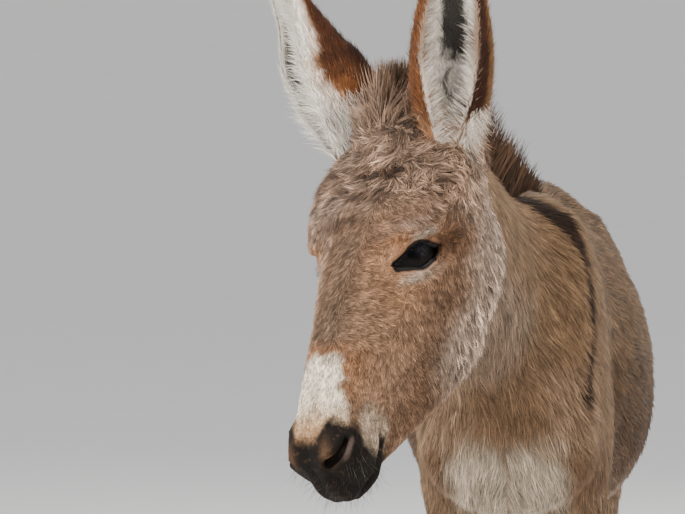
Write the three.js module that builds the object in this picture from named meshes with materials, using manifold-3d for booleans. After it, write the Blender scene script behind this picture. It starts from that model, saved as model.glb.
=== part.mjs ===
// A young donkey, life size, standing square on its four hooves with its head lowered and turned to its right.
// Millimetres, +Z up. The donkey faces -Y and its left side is +X. The origin is on the floor under its middle.
//
// The flesh is one implicit shape: lofts whose sections are egg-like superellipses, and ellipsoids, blended
// smoothly. It is meshed on a graded grid, finest at the head, and then parted with thin plane cuts.

import * as THREE from "three";
import Module from "manifold-3d";
import { mergeVertices } from "three/addons/utils/BufferGeometryUtils.js";

// ---------------------------------------------------------------- driving dimensions

const WITHERS = 980; // height at the withers of this donkey
const BUILD = 1030; // height at the withers for which the stations below are written
const GAP = 0.35; // the thin cut between two parts

// head: the point between the ears, and how the head hangs
const POLL = [-115, -600, 1133];
const HEAD_TURN = 22.9; // degrees to the donkey's right
const HEAD_DROP = 58.9; // degrees from level to the line of the face
const HEAD_LEAN = -16.8; // degrees about the face's own line

// Eye, in the head's frame: where the lids open, which way it looks, and the line from its outer to its inner corner.
const EYE = { opening: [166, -42, 64], out: [0.33, 0.25, 0.91], line: [0.75, 0.52, -0.41], r: 28, long: 30, tall: 17 };
const NOSTRIL = { at: [407, -33, 39], line: [0.86, 0, -0.51], long: 18, wide: 6 };
const EAR_LENGTH = 240;

// ---------------------------------------------------------------- small maths

const rad = (d) => (d * Math.PI) / 180;
const clamp = (x, a, b) => Math.min(b, Math.max(a, x));
const dot = (a, b) => a[0] * b[0] + a[1] * b[1] + a[2] * b[2];
const sub = (a, b) => [a[0] - b[0], a[1] - b[1], a[2] - b[2]];
const add = (a, b, s = 1) => [a[0] + b[0] * s, a[1] + b[1] * s, a[2] + b[2] * s];
const cross = (a, b) => [
  a[1] * b[2] - a[2] * b[1],
  a[2] * b[0] - a[0] * b[2],
  a[0] * b[1] - a[1] * b[0],
];
const unit = (a) => {
  const n = Math.hypot(...a);
  return a.map((c) => c / n);
};
const smooth = (a, b, x) => {
  const t = clamp((x - a) / (b - a), 0, 1);
  return t * t * (3 - 2 * t);
};

// Smooth union, with k the width of the blend.
function join(a, b, k) {
  const h = Math.max(k - Math.abs(a - b), 0) / k;
  return Math.min(a, b) - (h * h * k) / 4;
}

// A smooth curve through (t, value) stations that doesn't overshoot them, sampled into a table.
function curve(ts, values) {
  const n = ts.length;
  const slope = ts.map((_, i) => {
    if (i === 0 || i === n - 1) return 0;
    const d0 = (values[i] - values[i - 1]) / (ts[i] - ts[i - 1]);
    const d1 = (values[i + 1] - values[i]) / (ts[i + 1] - ts[i]);
    return d0 * d1 <= 0 ? 0 : (2 * d0 * d1) / (d0 + d1);
  });
  slope[0] = (values[1] - values[0]) / (ts[1] - ts[0]);
  slope[n - 1] = (values[n - 1] - values[n - 2]) / (ts[n - 1] - ts[n - 2]);
  return (t) => {
    if (t <= ts[0]) return values[0];
    if (t >= ts[n - 1]) return values[n - 1];
    let i = 0;
    while (t > ts[i + 1]) i++;
    const h = ts[i + 1] - ts[i];
    const x = (t - ts[i]) / h;
    const x2 = x * x;
    const x3 = x2 * x;
    return (
      values[i] * (2 * x3 - 3 * x2 + 1) +
      slope[i] * h * (x3 - 2 * x2 + x) +
      values[i + 1] * (3 * x2 - 2 * x3) +
      slope[i + 1] * h * (x3 - x2)
    );
  };
}

// ---------------------------------------------------------------- shapes

// An ellipsoid's distance, near enough for blending.
function ellipsoid(p, centre, radii) {
  const x = (p[0] - centre[0]) / radii[0];
  const y = (p[1] - centre[1]) / radii[1];
  const z = (p[2] - centre[2]) / radii[2];
  const k0 = Math.sqrt(x * x + y * y + z * z);
  const k1 = Math.hypot(x / radii[0], y / radii[1], z / radii[2]);
  return k1 < 1e-9 ? -Math.min(...radii) : (k0 * (k0 - 1)) / k1;
}

// A loft along t. Each row is [t, top, bottom, half-width, level of the widest point, roundness, egg].
// Roundness is the superellipse's power, and egg widens the top and narrows the bottom.
function loft(rows) {
  const ts = rows.map((r) => r[0]);
  const column = (i) => curve(ts, rows.map((r) => r[i]));
  const [top, low, half, level, power, egg] = [1, 2, 3, 4, 5, 6].map(column);
  const first = ts[0];
  const last = ts[ts.length - 1];
  const STEP = 2;
  const table = [];
  for (let t = first; t <= last + STEP; t += STEP)
    table.push([top(t), low(t), half(t), level(t), power(t), egg(t)]);
  return (t, v, x) => {
    const at = clamp((t - first) / STEP, 0, table.length - 1.001);
    const i = Math.floor(at);
    const m = at - i;
    const a = table[i];
    const b = table[i + 1];
    const c = a[3] + (b[3] - a[3]) * m;
    const over = v > c;
    const h = over ? a[0] + (b[0] - a[0]) * m - c : c - a[1] - (b[1] - a[1]) * m;
    const y = Math.abs(v - c) / h;
    const n = a[4] + (b[4] - a[4]) * m;
    const e = a[5] + (b[5] - a[5]) * m;
    const w = (a[2] + (b[2] - a[2]) * m) * (1 + e * clamp(over ? y : -y, -1, 1));
    const u = Math.abs(x) / w;
    const un = Math.pow(u, n - 1);
    const yn = Math.pow(y, n - 1);
    const s = un * u + yn * y;
    const r = Math.pow(s, 1 / n);
    const g = Math.pow(Math.max(s, 1e-9), 1 / n - 1) * Math.hypot(un / w, yn / h);
    const d = (r - 1) / Math.max(g, 1e-4);
    const out = Math.max(first - t, t - last, 0);
    return out > 0 ? Math.hypot(Math.max(d, 0), out) : d;
  };
}

// ---------------------------------------------------------------- trunk

//    y     top   low   half  level power egg
const trunkLoft = loft([
  [-170, 930, 640, 78, 800, 2.2, 0],
  [-90, 1000, 610, 96, 810, 2.2, 0],
  [0, 1022, 585, 112, 790, 2.2, 0.0],
  [90, 1012, 565, 142, 755, 2.1, 0],
  [200, 994, 551, 170, 745, 2.1, 0],
  [310, 990, 548, 179, 742, 2.15, 0],
  [420, 1004, 562, 171, 748, 1.9, 0],
  [510, 1031, 600, 154, 776, 1.72, 0],
  [600, 1024, 660, 134, 800, 1.8, 0],
  [660, 985, 720, 104, 820, 1.9, 0],
]);

function trunk(x, y, z) {
  const s = Math.abs(x);
  let d = trunkLoft(y, z, x);
  d = join(d, ellipsoid([s, y, z], [0, -140, 755], [88, 100, 122]), 60); // breast
  d = join(d, ellipsoid([s, y, z], [34, -176, 708], [44, 52, 72]), 30); // pectorals
  d = join(d, ellipsoid([s, y, z], [62, -70, 830], [44, 105, 170]), 50); // shoulder blade
  d = join(d, ellipsoid([s, y, z], [66, -142, 722], [42, 72, 70]), 40); // point of the shoulder
  d = join(d, ellipsoid([s, y, z], [72, 10, 690], [40, 88, 88]), 45); // triceps
  d = join(d, ellipsoid([s, y, z], [59, 500, 862], [48, 88, 78]), 45); // point of the hip
  d = join(d, ellipsoid([s, y, z], [42, 608, 852], [74, 126, 92]), 50); // croup
  d = join(d, ellipsoid([s, y, z], [58, 680, 820], [62, 82, 120]), 50); // buttock
  return d;
}

// ---------------------------------------------------------------- legs

// Rows are [z, back, front, half-width, y of the bone, power, egg]; back and front are y values.
const foreLoft = loft([
  [30, 2, -73, 33, -34, 2, 0],
  [62, 0, -58, 29, -28, 2, 0],
  [74, -2, -54, 27, -26, 2, 0],
  [98, 12, -40, 23, -15, 2, 0],
  [130, 29, -25, 26, 0, 2, 0],
  [165, 25, -21, 20, 2, 2, 0],
  [230, 25, -20, 19, 2, 2, 0],
  [285, 29, -27, 25, 0, 2, 0],
  [330, 30, -37, 33, -3, 2.2, 0],
  [375, 32, -34, 30, -1, 2, 0],
  [440, 40, -36, 33, 2, 2, 0],
  [520, 58, -44, 41, 6, 2, 0],
  [585, 82, -62, 48, 4, 2, 0],
  [660, 80, -105, 52, -15, 2, 0],
  [740, 50, -140, 50, -45, 2, 0],
  [800, 32, -130, 38, -50, 2, 0],
  [870, 5, -100, 18, -50, 2, 0],
]);
const hindLoft = loft([
  [30, 688, 610, 32, 650, 2, 0],
  [62, 684, 624, 28, 656, 2, 0],
  [74, 684, 628, 26, 657, 2, 0],
  [100, 696, 645, 23, 669, 2, 0],
  [135, 716, 656, 26, 684, 2, 0],
  [175, 714, 664, 21, 688, 2, 0],
  [280, 719, 666, 22, 692, 2, 0],
  [340, 728, 656, 29, 694, 2, 0],
  [400, 742, 648, 34, 696, 2.1, 0],
  [445, 748, 634, 33, 690, 2, 0],
  [500, 722, 594, 37, 662, 2, 0],
  [570, 708, 535, 50, 622, 2, 0],
  [650, 722, 470, 66, 592, 2, 0],
  [740, 748, 440, 73, 590, 2, 0],
  [830, 752, 450, 62, 600, 2, 0],
  [900, 735, 475, 40, 605, 2, 0],
  [970, 690, 530, 10, 610, 2, 0],
]);

// One leg: its side, how wide it stands at the top and at the foot, and how far it steps back.
const LEGS = [
  { name: "foreleg_left", loft: foreLoft, side: 1, top: 68, foot: 78, hip: 700, step: -8 },
  { name: "foreleg_right", loft: foreLoft, side: -1, top: 68, foot: 78, hip: 700, step: 22 },
  { name: "hindleg_left", loft: hindLoft, side: 1, top: 78, foot: 92, hip: 800, step: 34 },
  { name: "hindleg_right", loft: hindLoft, side: -1, top: 78, foot: 92, hip: 800, step: -38 },
];
const legX = (leg, z) => leg.side * (leg.foot + (leg.top - leg.foot) * smooth(150, 700, z));
const legStep = (leg, z) => leg.step * (1 - smooth(120, leg.hip, z));

function legShape(leg, x, y, z) {
  return leg.loft(z, y - legStep(leg, z), x - legX(leg, z));
}

// ---------------------------------------------------------------- head frame

const HEAD = (() => {
  const [t, d, l] = [HEAD_TURN, HEAD_DROP, HEAD_LEAN].map(rad);
  const along = [-Math.sin(t) * Math.cos(d), -Math.cos(t) * Math.cos(d), -Math.sin(d)];
  const face = [-Math.sin(t) * Math.sin(d), -Math.cos(t) * Math.sin(d), Math.cos(d)];
  const left = [Math.cos(t), -Math.sin(t), 0];
  return {
    along,
    face: add(face.map((c) => c * Math.cos(l)), left, Math.sin(l)),
    left: add(left.map((c) => c * Math.cos(l)), face, -Math.sin(l)),
  };
})();
const toHead = (p) => {
  const d = sub(p, POLL);
  return [dot(d, HEAD.along), dot(d, HEAD.face), dot(d, HEAD.left)];
};
const fromHead = ([u, v, w]) =>
  add(add(add(POLL, HEAD.along, u), HEAD.face, v), HEAD.left, w);

// ---------------------------------------------------------------- neck

const NECK_BASE = [0, -40, 845];
const NECK_TOP = fromHead([42, -92, 0]);
const neckAlong = unit(sub(NECK_TOP, NECK_BASE));
const neckUp = unit(add([0, 0, 1], neckAlong, -neckAlong[2]));
const neckLeft = cross(neckUp, neckAlong);
const neckLoft = loft([
  [-60, 170, -195, 86, -10, 2.0, -0.1],
  [60, 155, -175, 82, -10, 2.0, -0.12],
  [180, 128, -145, 69, -8, 2.0, -0.14],
  [300, 112, -122, 61, -2, 2.0, -0.1],
  [400, 104, -108, 57, 0, 2.0, -0.05],
  [520, 92, -98, 54, 0, 2.0, 0],
]);

function neck(p) {
  const d = sub(p, NECK_BASE);
  return neckLoft(dot(d, neckAlong), dot(d, neckUp), dot(d, neckLeft));
}

// ---------------------------------------------------------------- head

//   along   top   low  half level power egg
const skullLoft = loft([
  [-24, -50, -116, 48, -80, 2.1, 0],
  [0, -26, -130, 76, -72, 2.2, 0.1],
  [40, -4, -142, 96, -60, 2.4, 0.15],
  [85, 6, -148, 102, -54, 2.5, 0.14],
  [120, 6, -148, 98, -52, 2.5, 0.1],
  [147, 4, -144, 83, -52, 2.5, 0.05],
  [166, 2, -140, 70, -52, 2.5, 0],
  [190, 1, -134, 62, -52, 2.5, 0],
  [220, 0, -128, 57, -54, 2.5, 0],
  [265, -3, -118, 51, -56, 2.4, 0],
  [330, -8, -106, 45, -56, 2.3, 0],
  [385, -18, -100, 43, -58, 2.2, 0],
  [420, -36, -96, 34, -66, 2.0, 0],
]);
const jawLoft = loft([
  [30, -100, -152, 44, -124, 2, 0],
  [70, -96, -178, 56, -136, 2.2, 0],
  [110, -92, -195, 63, -146, 2.6, 0],
  [160, -88, -206, 62, -148, 2.8, 0],
  [205, -86, -207, 57, -148, 2.8, 0],
  [245, -84, -196, 50, -142, 2.7, 0],
  [285, -82, -176, 44, -130, 2.6, 0],
  [325, -80, -154, 38, -118, 2.4, 0],
  [360, -80, -134, 33, -108, 2.2, 0],
  [385, -80, -118, 29, -100, 2, 0],
  [405, -82, -106, 22, -94, 2, 0],
]);

function head(p) {
  const [u, v, w] = toHead(p);
  const s = Math.abs(w);
  const q = [u, v, s];
  let d = skullLoft(u, v, w);
  d = join(d, jawLoft(u, v, w), 22);
  d = join(d, ellipsoid(q, [122, -120, 46], [74, 64, 32]), 26); // cheek
  d = join(d, ellipsoid(q, [134, -30, 64], [34, 26, 28]), 14); // brow
  d = join(d, ellipsoid(q, [166, -46, 38], [38, 32, 31]), 12); // lids over the eye
  d = join(d, ellipsoid(q, [2, -34, 0], [44, 52, 62]), 24); // crown
  d = join(d, ellipsoid(q, [390, -54, 22], [34, 34, 30]), 16); // nostril
  d = join(d, ellipsoid(q, [410, -76, 8], [25, 30, 30]), 14); // upper lip
  d = join(d, ellipsoid(q, [398, -98, 6], [23, 22, 24]), 12); // chin
  return d;
}

// ---------------------------------------------------------------- tail

const tailLoft = loft([
  // z, back, front, half, middle
  [560, 812, 776, 16, 794, 2, 0],
  [700, 806, 766, 18, 786, 2, 0],
  [800, 796, 750, 20, 773, 2, 0],
  [870, 778, 720, 23, 750, 2, 0],
  [925, 748, 676, 26, 712, 2, 0],
  [960, 720, 650, 26, 690, 2, 0],
]);
const tail = (x, y, z) => tailLoft(z, y, x);

// ---------------------------------------------------------------- the whole flesh

function body(x, y, z) {
  const p = [x, y, z];
  let d = trunk(x, y, z);
  if (y < 200) d = join(d, neck(p), 70);
  for (const leg of LEGS) {
    if (leg.side * x < -60) continue;
    d = join(d, legShape(leg, x, y, z), 36);
  }
  if (y < -300) d = join(d, head(p), 34);
  return d;
}

// ---------------------------------------------------------------- where the flesh is parted

// A half-space is [normal, offset] and holds the points with normal . p < offset.
const behind = ([n, o]) => [n.map((c) => -c), -o];
const nape = (() => {
  const n = unit(add(HEAD.along.map((c) => c * 0.899), HEAD.face, 0.437));
  return [n, dot(n, POLL) - 52];
})();
const collar = [neckAlong, dot(neckAlong, NECK_BASE) + 160];
const legRoom = (leg) => {
  const fore = leg.hip === 700;
  return [
    [[0, 0, 1], fore ? 556 : 585],
    [[-leg.side, 0, 0], fore ? -14 : 0],
    fore ? [[0, 1, 0], 112] : [[0, -1, 0], -484],
  ];
};
// The coronet slopes down towards the heel.
const coronet = (leg) => {
  const n = unit([0, 0.3, 1]);
  const heel = leg.hip === 700 ? -25 : 652;
  return [n, n[1] * (heel + leg.step) + n[2] * 58];
};
const depth = (room, p) => Math.max(...room.map(([n, o]) => dot(n, p) - o));

// ---------------------------------------------------------------- meshing

// Grid lines from a to b and two before a, where step gives the spacing at a place.
function lines(a, b, step) {
  const out = [a - 2 * step(a), a - step(a), a];
  while (out[out.length - 1] < b) out.push(out[out.length - 1] + step(out[out.length - 1]));
  return out;
}

const WORLD = { at: [0, 0, 0], axes: [[1, 0, 0], [0, 1, 0], [0, 0, 1]] };

// Surface nets of f < 0 on a grid of lines along the frame's axes, its points then moved onto the surface.
function net(f, grid, frame = WORLD) {
  const [gx, gy, gz] = grid;
  const [nx, ny, nz] = grid.map((g) => g.length);
  const place = (a, b, c) =>
    add(add(add(frame.at, frame.axes[0], a), frame.axes[1], b), frame.axes[2], c);
  const id = (i, j, k) => (k * ny + j) * nx + i;
  const value = new Float64Array(nx * ny * nz);
  for (let k = 0; k < nz; k++)
    for (let j = 0; j < ny; j++)
      for (let i = 0; i < nx; i++) {
        const edge = i < 2 || j < 2 || k < 2 || i === nx - 1 || j === ny - 1 || k === nz - 1;
        value[id(i, j, k)] = edge ? 50 : f(place(gx[i], gy[j], gz[k])) || 1e-6;
      }
  untangle(value, [nx, ny, nz], id);
  const at = new Int32Array(nx * ny * nz).fill(-1);
  const points = [];
  for (let k = 0; k < nz - 1; k++)
    for (let j = 0; j < ny - 1; j++)
      for (let i = 0; i < nx - 1; i++) {
        const corner = [];
        for (let m = 0; m < 8; m++)
          corner.push(value[id(i + (m & 1), j + ((m >> 1) & 1), k + (m >> 2))]);
        if (corner.every((c) => c > 0) || corner.every((c) => c < 0)) continue;
        const sum = [0, 0, 0];
        let count = 0;
        for (let m = 0; m < 8; m++)
          for (const bit of [1, 2, 4]) {
            const q = m | bit;
            if (q === m || corner[m] > 0 === corner[q] > 0) continue;
            const t = corner[m] / (corner[m] - corner[q]);
            for (let axis = 0; axis < 3; axis++)
              sum[axis] += (m >> axis) & 1 ? 1 : bit === 1 << axis ? t : 0;
            count++;
          }
        const [a, b, c] = sum.map((v) => v / count);
        at[id(i, j, k)] = points.length;
        const cell = [gx[i + 1] - gx[i], gy[j + 1] - gy[j], gz[k + 1] - gz[k]];
        points.push(settle(f, place(gx[i] + a * cell[0], gy[j] + b * cell[1], gz[k] + c * cell[2]), cell));
      }
  const faces = [];
  const mirrored = dot(cross(frame.axes[0], frame.axes[1]), frame.axes[2]) < 0;
  const quad = (a, b, c, d, flip) =>
    flip !== mirrored ? faces.push(a, c, b, a, d, c) : faces.push(a, b, c, a, c, d);
  for (let k = 1; k < nz - 1; k++)
    for (let j = 1; j < ny - 1; j++)
      for (let i = 1; i < nx - 1; i++) {
        const s = value[id(i, j, k)] < 0;
        const [x0, y0, z0] = [i - 1, j - 1, k - 1];
        if (s !== value[id(i + 1, j, k)] < 0)
          quad(at[id(i, y0, z0)], at[id(i, j, z0)], at[id(i, j, k)], at[id(i, y0, k)], !s);
        if (s !== value[id(i, j + 1, k)] < 0)
          quad(at[id(x0, j, z0)], at[id(x0, j, k)], at[id(i, j, k)], at[id(i, j, z0)], !s);
        if (s !== value[id(i, j, k + 1)] < 0)
          quad(at[id(x0, y0, k)], at[id(i, y0, k)], at[id(i, j, k)], at[id(x0, j, k)], !s);
      }
  return { points, faces };
}

// Corner pairs along the edges of a cell, and the corners round each of its faces.
const EDGES = [0, 1, 2, 3, 4, 5, 6, 7].flatMap((m) => [1, 2, 4].filter((b) => !(m & b)).map((b) => [m, m | b]));
const FACES = [[0, 1, 3, 2], [4, 5, 7, 6], [0, 1, 5, 4], [2, 3, 7, 6], [0, 2, 6, 4], [1, 3, 7, 5]];

// True if corners of one sign within a cell are in two or more pieces.
function scattered(corner, inside) {
  const mine = corner.map((c) => c < 0 === inside);
  const seen = new Array(8).fill(false);
  const first = mine.indexOf(true);
  if (first < 0) return false;
  seen[first] = true;
  for (let turn = 0; turn < 7; turn++)
    for (const [a, b] of EDGES)
      if (mine[a] && mine[b] && (seen[a] || seen[b])) seen[a] = seen[b] = true;
  return mine.some((m, i) => m && !seen[i]);
}

// Flips weak corner signs until every cell holds one simple sheet, so that the net is closed and clean.
function untangle(value, [nx, ny, nz], id) {
  for (let turn = 0; turn < 12; turn++) {
    let flips = 0;
    for (let k = 0; k < nz - 1; k++)
      for (let j = 0; j < ny - 1; j++)
        for (let i = 0; i < nx - 1; i++) {
          const ids = [];
          for (let m = 0; m < 8; m++) ids.push(id(i + (m & 1), j + ((m >> 1) & 1), k + (m >> 2)));
          const corner = ids.map((q) => value[q]);
          if (corner.every((c) => c > 0) || corner.every((c) => c < 0)) continue;
          const crossed = FACES.some(([a, b, c, d]) => {
            const [p, q, r, s] = [corner[a] < 0, corner[b] < 0, corner[c] < 0, corner[d] < 0];
            return p === r && q === s && p !== q;
          });
          if (!crossed && !scattered(corner, true) && !scattered(corner, false)) continue;
          const inner = ids.filter((q) => value[q] < 0);
          const weak = inner.reduce((a, b) => (value[b] > value[a] ? b : a));
          value[weak] = 1e-3 - value[weak];
          flips++;
        }
    if (!flips) return;
  }
}

// Moves a point onto the surface f = 0, no further than part of its cell.
function settle(f, start, cell) {
  let p = start;
  const limit = 0.4 * Math.min(...cell);
  for (let turn = 0; turn < 3; turn++) {
    const d = f(p);
    const g = [0, 1, 2].map((i) => {
      const q = [...p];
      q[i] += 0.5;
      return (f(q) - d) / 0.5;
    });
    const size = dot(g, g);
    if (size < 1e-4) break;
    const next = add(p, g, -d / size);
    const move = sub(next, start);
    const far = Math.hypot(...move);
    p = far > limit ? add(start, move, limit / far) : next;
  }
  return p;
}

// ---------------------------------------------------------------- solids

const wasm = await Module();
wasm.setup();

function solid({ points, faces }) {
  return new wasm.Manifold(
    new wasm.Mesh({
      numProp: 3,
      vertProperties: new Float32Array(points.flat()),
      triVerts: new Uint32Array(faces),
    }),
  );
}

function geometrySolid(geometry, matrix) {
  let g = geometry.clone();
  if (matrix) g.applyMatrix4(matrix);
  g.deleteAttribute("normal");
  g.deleteAttribute("uv");
  g = mergeVertices(g, 1e-4);
  const position = g.getAttribute("position");
  const points = [];
  for (let i = 0; i < position.count; i++)
    points.push([position.getX(i), position.getY(i), position.getZ(i)]);
  return solid({ points, faces: Array.from(g.index.array) });
}

// A matrix that carries x, y, z onto three axes, scaled, at a place.
function basis(axes, at, scale = [1, 1, 1]) {
  const [a, b, c] = axes.map((v, i) => new THREE.Vector3(...v).multiplyScalar(scale[i]));
  return new THREE.Matrix4().makeBasis(a, b, c).setPosition(...at);
}

function frameAlong(n) {
  const z = unit(n);
  const x = unit(cross(Math.abs(z[2]) < 0.9 ? [0, 0, 1] : [1, 0, 0], z));
  return [x, cross(z, x), z];
}

// Everything on the far side of a half-space, as a big block.
const SIZE = 3000;
const beyond = ([n, o], gap) =>
  geometrySolid(
    new THREE.BoxGeometry(SIZE, SIZE, SIZE),
    basis(frameAlong(n), n.map((c) => c * (o - gap + SIZE / 2))),
  );
const keep = (part, room) => room.reduce((s, half) => s.subtract(beyond(half, GAP / 2)), part);

function biggest(part) {
  return part.decompose().reduce((a, b) => (b.volume() > a.volume() ? b : a));
}

// One part of the flesh: inside a room of half-spaces, meshed a little beyond it and then cut.
function piece(f, room, grid, frame) {
  const rough = net((p) => Math.max(f(p), depth(room, p) - 22), grid, frame);
  return biggest(keep(solid(rough), room));
}
const flat = (f) => (p) => f(p[0], p[1], p[2]);
const around = (span, steps) => lines(span[0], span[1], () => steps);

// ---------------------------------------------------------------- trunk, neck and legs

const trunkGrid = [
  lines(-195, 195, (x) => (Math.abs(x) < 120 ? 34 : 28)),
  around([-262, 775], 54),
  around([520, 1040], 44),
];
const trunkShape = (skin) => (p) =>
  Math.max(
    body(...p) - skin,
    dot(p, collar[0]) - collar[1] - 24,
    ...LEGS.map((leg) => -depth(legRoom(leg), p) - 26),
  );

function trunkSolid() {
  let part = keep(solid(net(trunkShape(0), trunkGrid)), [collar]);
  for (const leg of LEGS) {
    let room = geometrySolid(new THREE.BoxGeometry(SIZE, SIZE, SIZE));
    for (const half of legRoom(leg)) room = room.subtract(beyond(half, -GAP / 2));
    part = part.subtract(room);
  }
  return biggest(part);
}

const neckFrame = { at: NECK_BASE, axes: [neckUp, neckLeft, neckAlong] };
const neckGrid = [around([-205, 215], 36), around([-110, 110], 26), around([120, 690], 48)];
const neckRoom = [behind(collar), nape];

function legSolid(leg) {
  const fore = leg.hip === 700;
  const room = [...legRoom(leg), behind(coronet(leg))];
  const xs = leg.side > 0 ? around([10, 170], 18) : around([-170, -10], 18);
  const ys = fore ? around([-100 + leg.step, 130], 20) : around([440, 770], 24);
  const zs = lines(35, fore ? 600 : 630, (z) => (z < 150 ? 24 : 46));
  return piece(flat(body), room, [xs, ys, zs]);
}

// Hooves: a flat sole on the floor, steeper at the front.
const hoofFore = loft([
  [-30, 0, -94, 38, -42, 2.2, 0],
  [0, 1, -89, 37, -40, 2.2, 0],
  [40, 3, -72, 33.5, -34, 2.1, 0],
  [90, 3, -50, 29, -26, 2, 0],
]);
const hoofHind = loft([
  [-30, 689, 598, 35, 646, 2.2, 0],
  [0, 690, 603, 34.5, 648, 2.2, 0],
  [40, 690, 616, 32, 652, 2.1, 0],
  [90, 689, 632, 28, 660, 2, 0],
]);
function hoofSolid(leg) {
  const fore = leg.hip === 700;
  const shape = fore ? hoofFore : hoofHind;
  const f = ([x, y, z]) => shape(z, y - leg.step, x - leg.side * leg.foot);
  const ys = (fore ? [-96, 12] : [598, 702]).map((y) => y + leg.step);
  const xs = [-40, 40].map((x) => x + leg.side * leg.foot);
  const floor = [[0, 0, -1], -GAP / 2];
  return piece(f, [coronet(leg), floor], [around(xs, 20), around(ys, 22), around([-30, 108], 30)]);
}

// ---------------------------------------------------------------- head, eyes and ears

const headFrame = { at: POLL, axes: [HEAD.along, HEAD.face, HEAD.left] };
const headGrid = [
  lines(-66, 445, (u) => (u < 320 ? 27 : 17)),
  around([-214, 34], 18),
  around([-108, 108], 18),
];
const turned = (v, side) => add(add(HEAD.along.map((c) => c * v[0]), HEAD.face, v[1]), HEAD.left, v[2] * side);
const placed = (v, side) => fromHead([v[0], v[1], v[2] * side]);

const eyeCentre = (side) => placed(add(EYE.opening, unit(EYE.out), -EYE.r), side);
const ball = (r, segments) => new THREE.SphereGeometry(r, segments, Math.round(segments * 0.7));
const eyeSolid = (side, extra) =>
  geometrySolid(
    ball(EYE.r + extra, 14),
    basis(frameAlong(turned(EYE.out, side)), eyeCentre(side)),
  );

// An ellipsoid on the head's surface, long along a line and deep along a direction.
function dimple(side, at, line, out, [long, wide, deep], segments) {
  const z = unit(turned(out, side));
  const x = unit(add(turned(line, side), z, -dot(turned(line, side), z)));
  return geometrySolid(
    ball(1, segments),
    basis([x, cross(z, x), z], placed(at, side), [long, wide, deep]),
  );
}

function headSolid() {
  let part = piece(flat(body), [behind(nape)], headGrid, headFrame);
  for (const side of [1, -1]) {
    part = part.subtract(eyeSolid(side, 0.5));
    part = part.subtract(dimple(side, EYE.opening, EYE.line, EYE.out, [EYE.long, EYE.tall, 30], 16));
    part = part.subtract(
      dimple(side, NOSTRIL.at, NOSTRIL.line, [0.4, 0.6, 0.7], [NOSTRIL.long, NOSTRIL.wide, 15], 8),
    );
  }
  return biggest(part);
}

// Ears: a leaf rolled into a cup. Directions are the donkey's own, and base is in the head's frame.
const EARS = {
  ear_left: { base: [12, -52, 61], axis: [0.02, -0.13, 0.98], open: [-0.06, -0.99, -0.16] },
  ear_right: { base: [-14, -34, -82], axis: [-0.42, 0.16, 0.87], open: [-0.9, -0.44, 0] },
};
const earWidth = curve(
  [-30, 0, 10, 25, 46, 66, 88, 130, 151, 180, 208, 230, 240],
  [46, 56, 62, 75, 88, 94, 96, 88, 80, 64, 43, 22, 7],
);
const earDepth = curve([-30, 0, 45, 75, 105, 125, 147, 190, 240], [28, 34, 40, 40, 33, 26, 19, 12, 4]);
const earCurl = curve([-30, 10, 70, 130, 170, 210, 240], [155, 150, 141, 136, 130, 112, 95]);

function earSolid({ base, axis, open }, rings = 11, arc = 6) {
  const up = unit(axis);
  const front = unit(add(open, up, -dot(open, up)));
  const across = cross(front, up);
  const foot = placed(base, 1);
  const points = [];
  for (let r = 0; r <= rings; r++) {
    const t = -30 + ((EAR_LENGTH + 30) * r) / rings;
    const half = earWidth(t) / 2;
    const deep = earDepth(t);
    const thick = 5 - 2.6 * smooth(60, 250, t);
    const tip = Math.min(1, half / 12);
    const bow = 6 * smooth(60, EAR_LENGTH, t);
    for (let i = 0; i < 2 * (arc + 1); i++) {
      const inner = i > arc;
      const turn = rad(earCurl(t)) * ((inner ? 2 * arc + 1 - i : i) / arc - 0.5) * 2;
      const wide = half - (inner ? thick * tip : 0);
      const hollow = deep - (inner ? thick * tip : 0);
      let p = add(foot, up, t);
      p = add(p, across, wide * Math.sin(turn));
      p = add(p, front, -hollow * Math.cos(turn) + bow + deep * 0.4);
      points.push(p);
    }
  }
  const n = 2 * (arc + 1);
  const faces = [];
  for (let r = 0; r < rings; r++)
    for (let i = 0; i < n; i++) {
      const [a, b] = [r * n + i, r * n + ((i + 1) % n)];
      faces.push(a, b, b + n, a, b + n, a + n);
    }
  // both ends: strips between the outer and the inner arc
  for (const [r, flip] of [[0, false], [rings, true]])
    for (let i = 0; i < arc; i++) {
      const [a, b] = [r * n + i, r * n + i + 1];
      const [c, d] = [r * n + (n - 2 - i), r * n + (n - 1 - i)];
      flip ? faces.push(a, b, c, a, c, d) : faces.push(a, c, b, a, d, c);
    }
  return solid({ points, faces });
}

// ---------------------------------------------------------------- mane and tail

// In the neck's frame: [t, top, bottom, half-width, level, power, egg]
const maneLoft = loft([
  [-60, 206, 170, 5, 190, 2, 0],
  [-10, 212, 155, 11, 185, 2, 0],
  [60, 208, 130, 17, 165, 2, 0],
  [180, 192, 100, 22, 140, 2, 0],
  [300, 178, 84, 23, 126, 2, 0],
  [420, 168, 76, 23, 118, 2, 0],
  [520, 158, 40, 25, 96, 2, 0],
  [590, 138, 0, 30, 62, 2, 0],
  [640, 108, -10, 29, 44, 2, 0],
  [668, 82, 0, 18, 40, 2, 0],
]);
// The mane leaves the middle of the neck for the middle of the leaning head.
const maneBend = dot(sub(POLL, NECK_BASE), neckLeft);
function mane(p) {
  const d = sub(p, NECK_BASE);
  const t = dot(d, neckAlong);
  return maneLoft(t, dot(d, neckUp), dot(d, neckLeft) - maneBend * smooth(400, 640, t));
}
const maneGrid = [around([10, 225], 28), around([-66, 34], 17), around([-75, 690], 56)];

const switchLoft = loft([
  [330, 800, 790, 6, 795, 2, 0],
  [380, 814, 778, 20, 796, 2, 0],
  [470, 824, 770, 28, 797, 2, 0],
  [560, 822, 770, 25, 796, 2, 0],
  [640, 812, 774, 18, 793, 2, 0],
  [730, 806, 770, 16, 788, 2, 0],
]);

// ---------------------------------------------------------------- the parts

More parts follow.
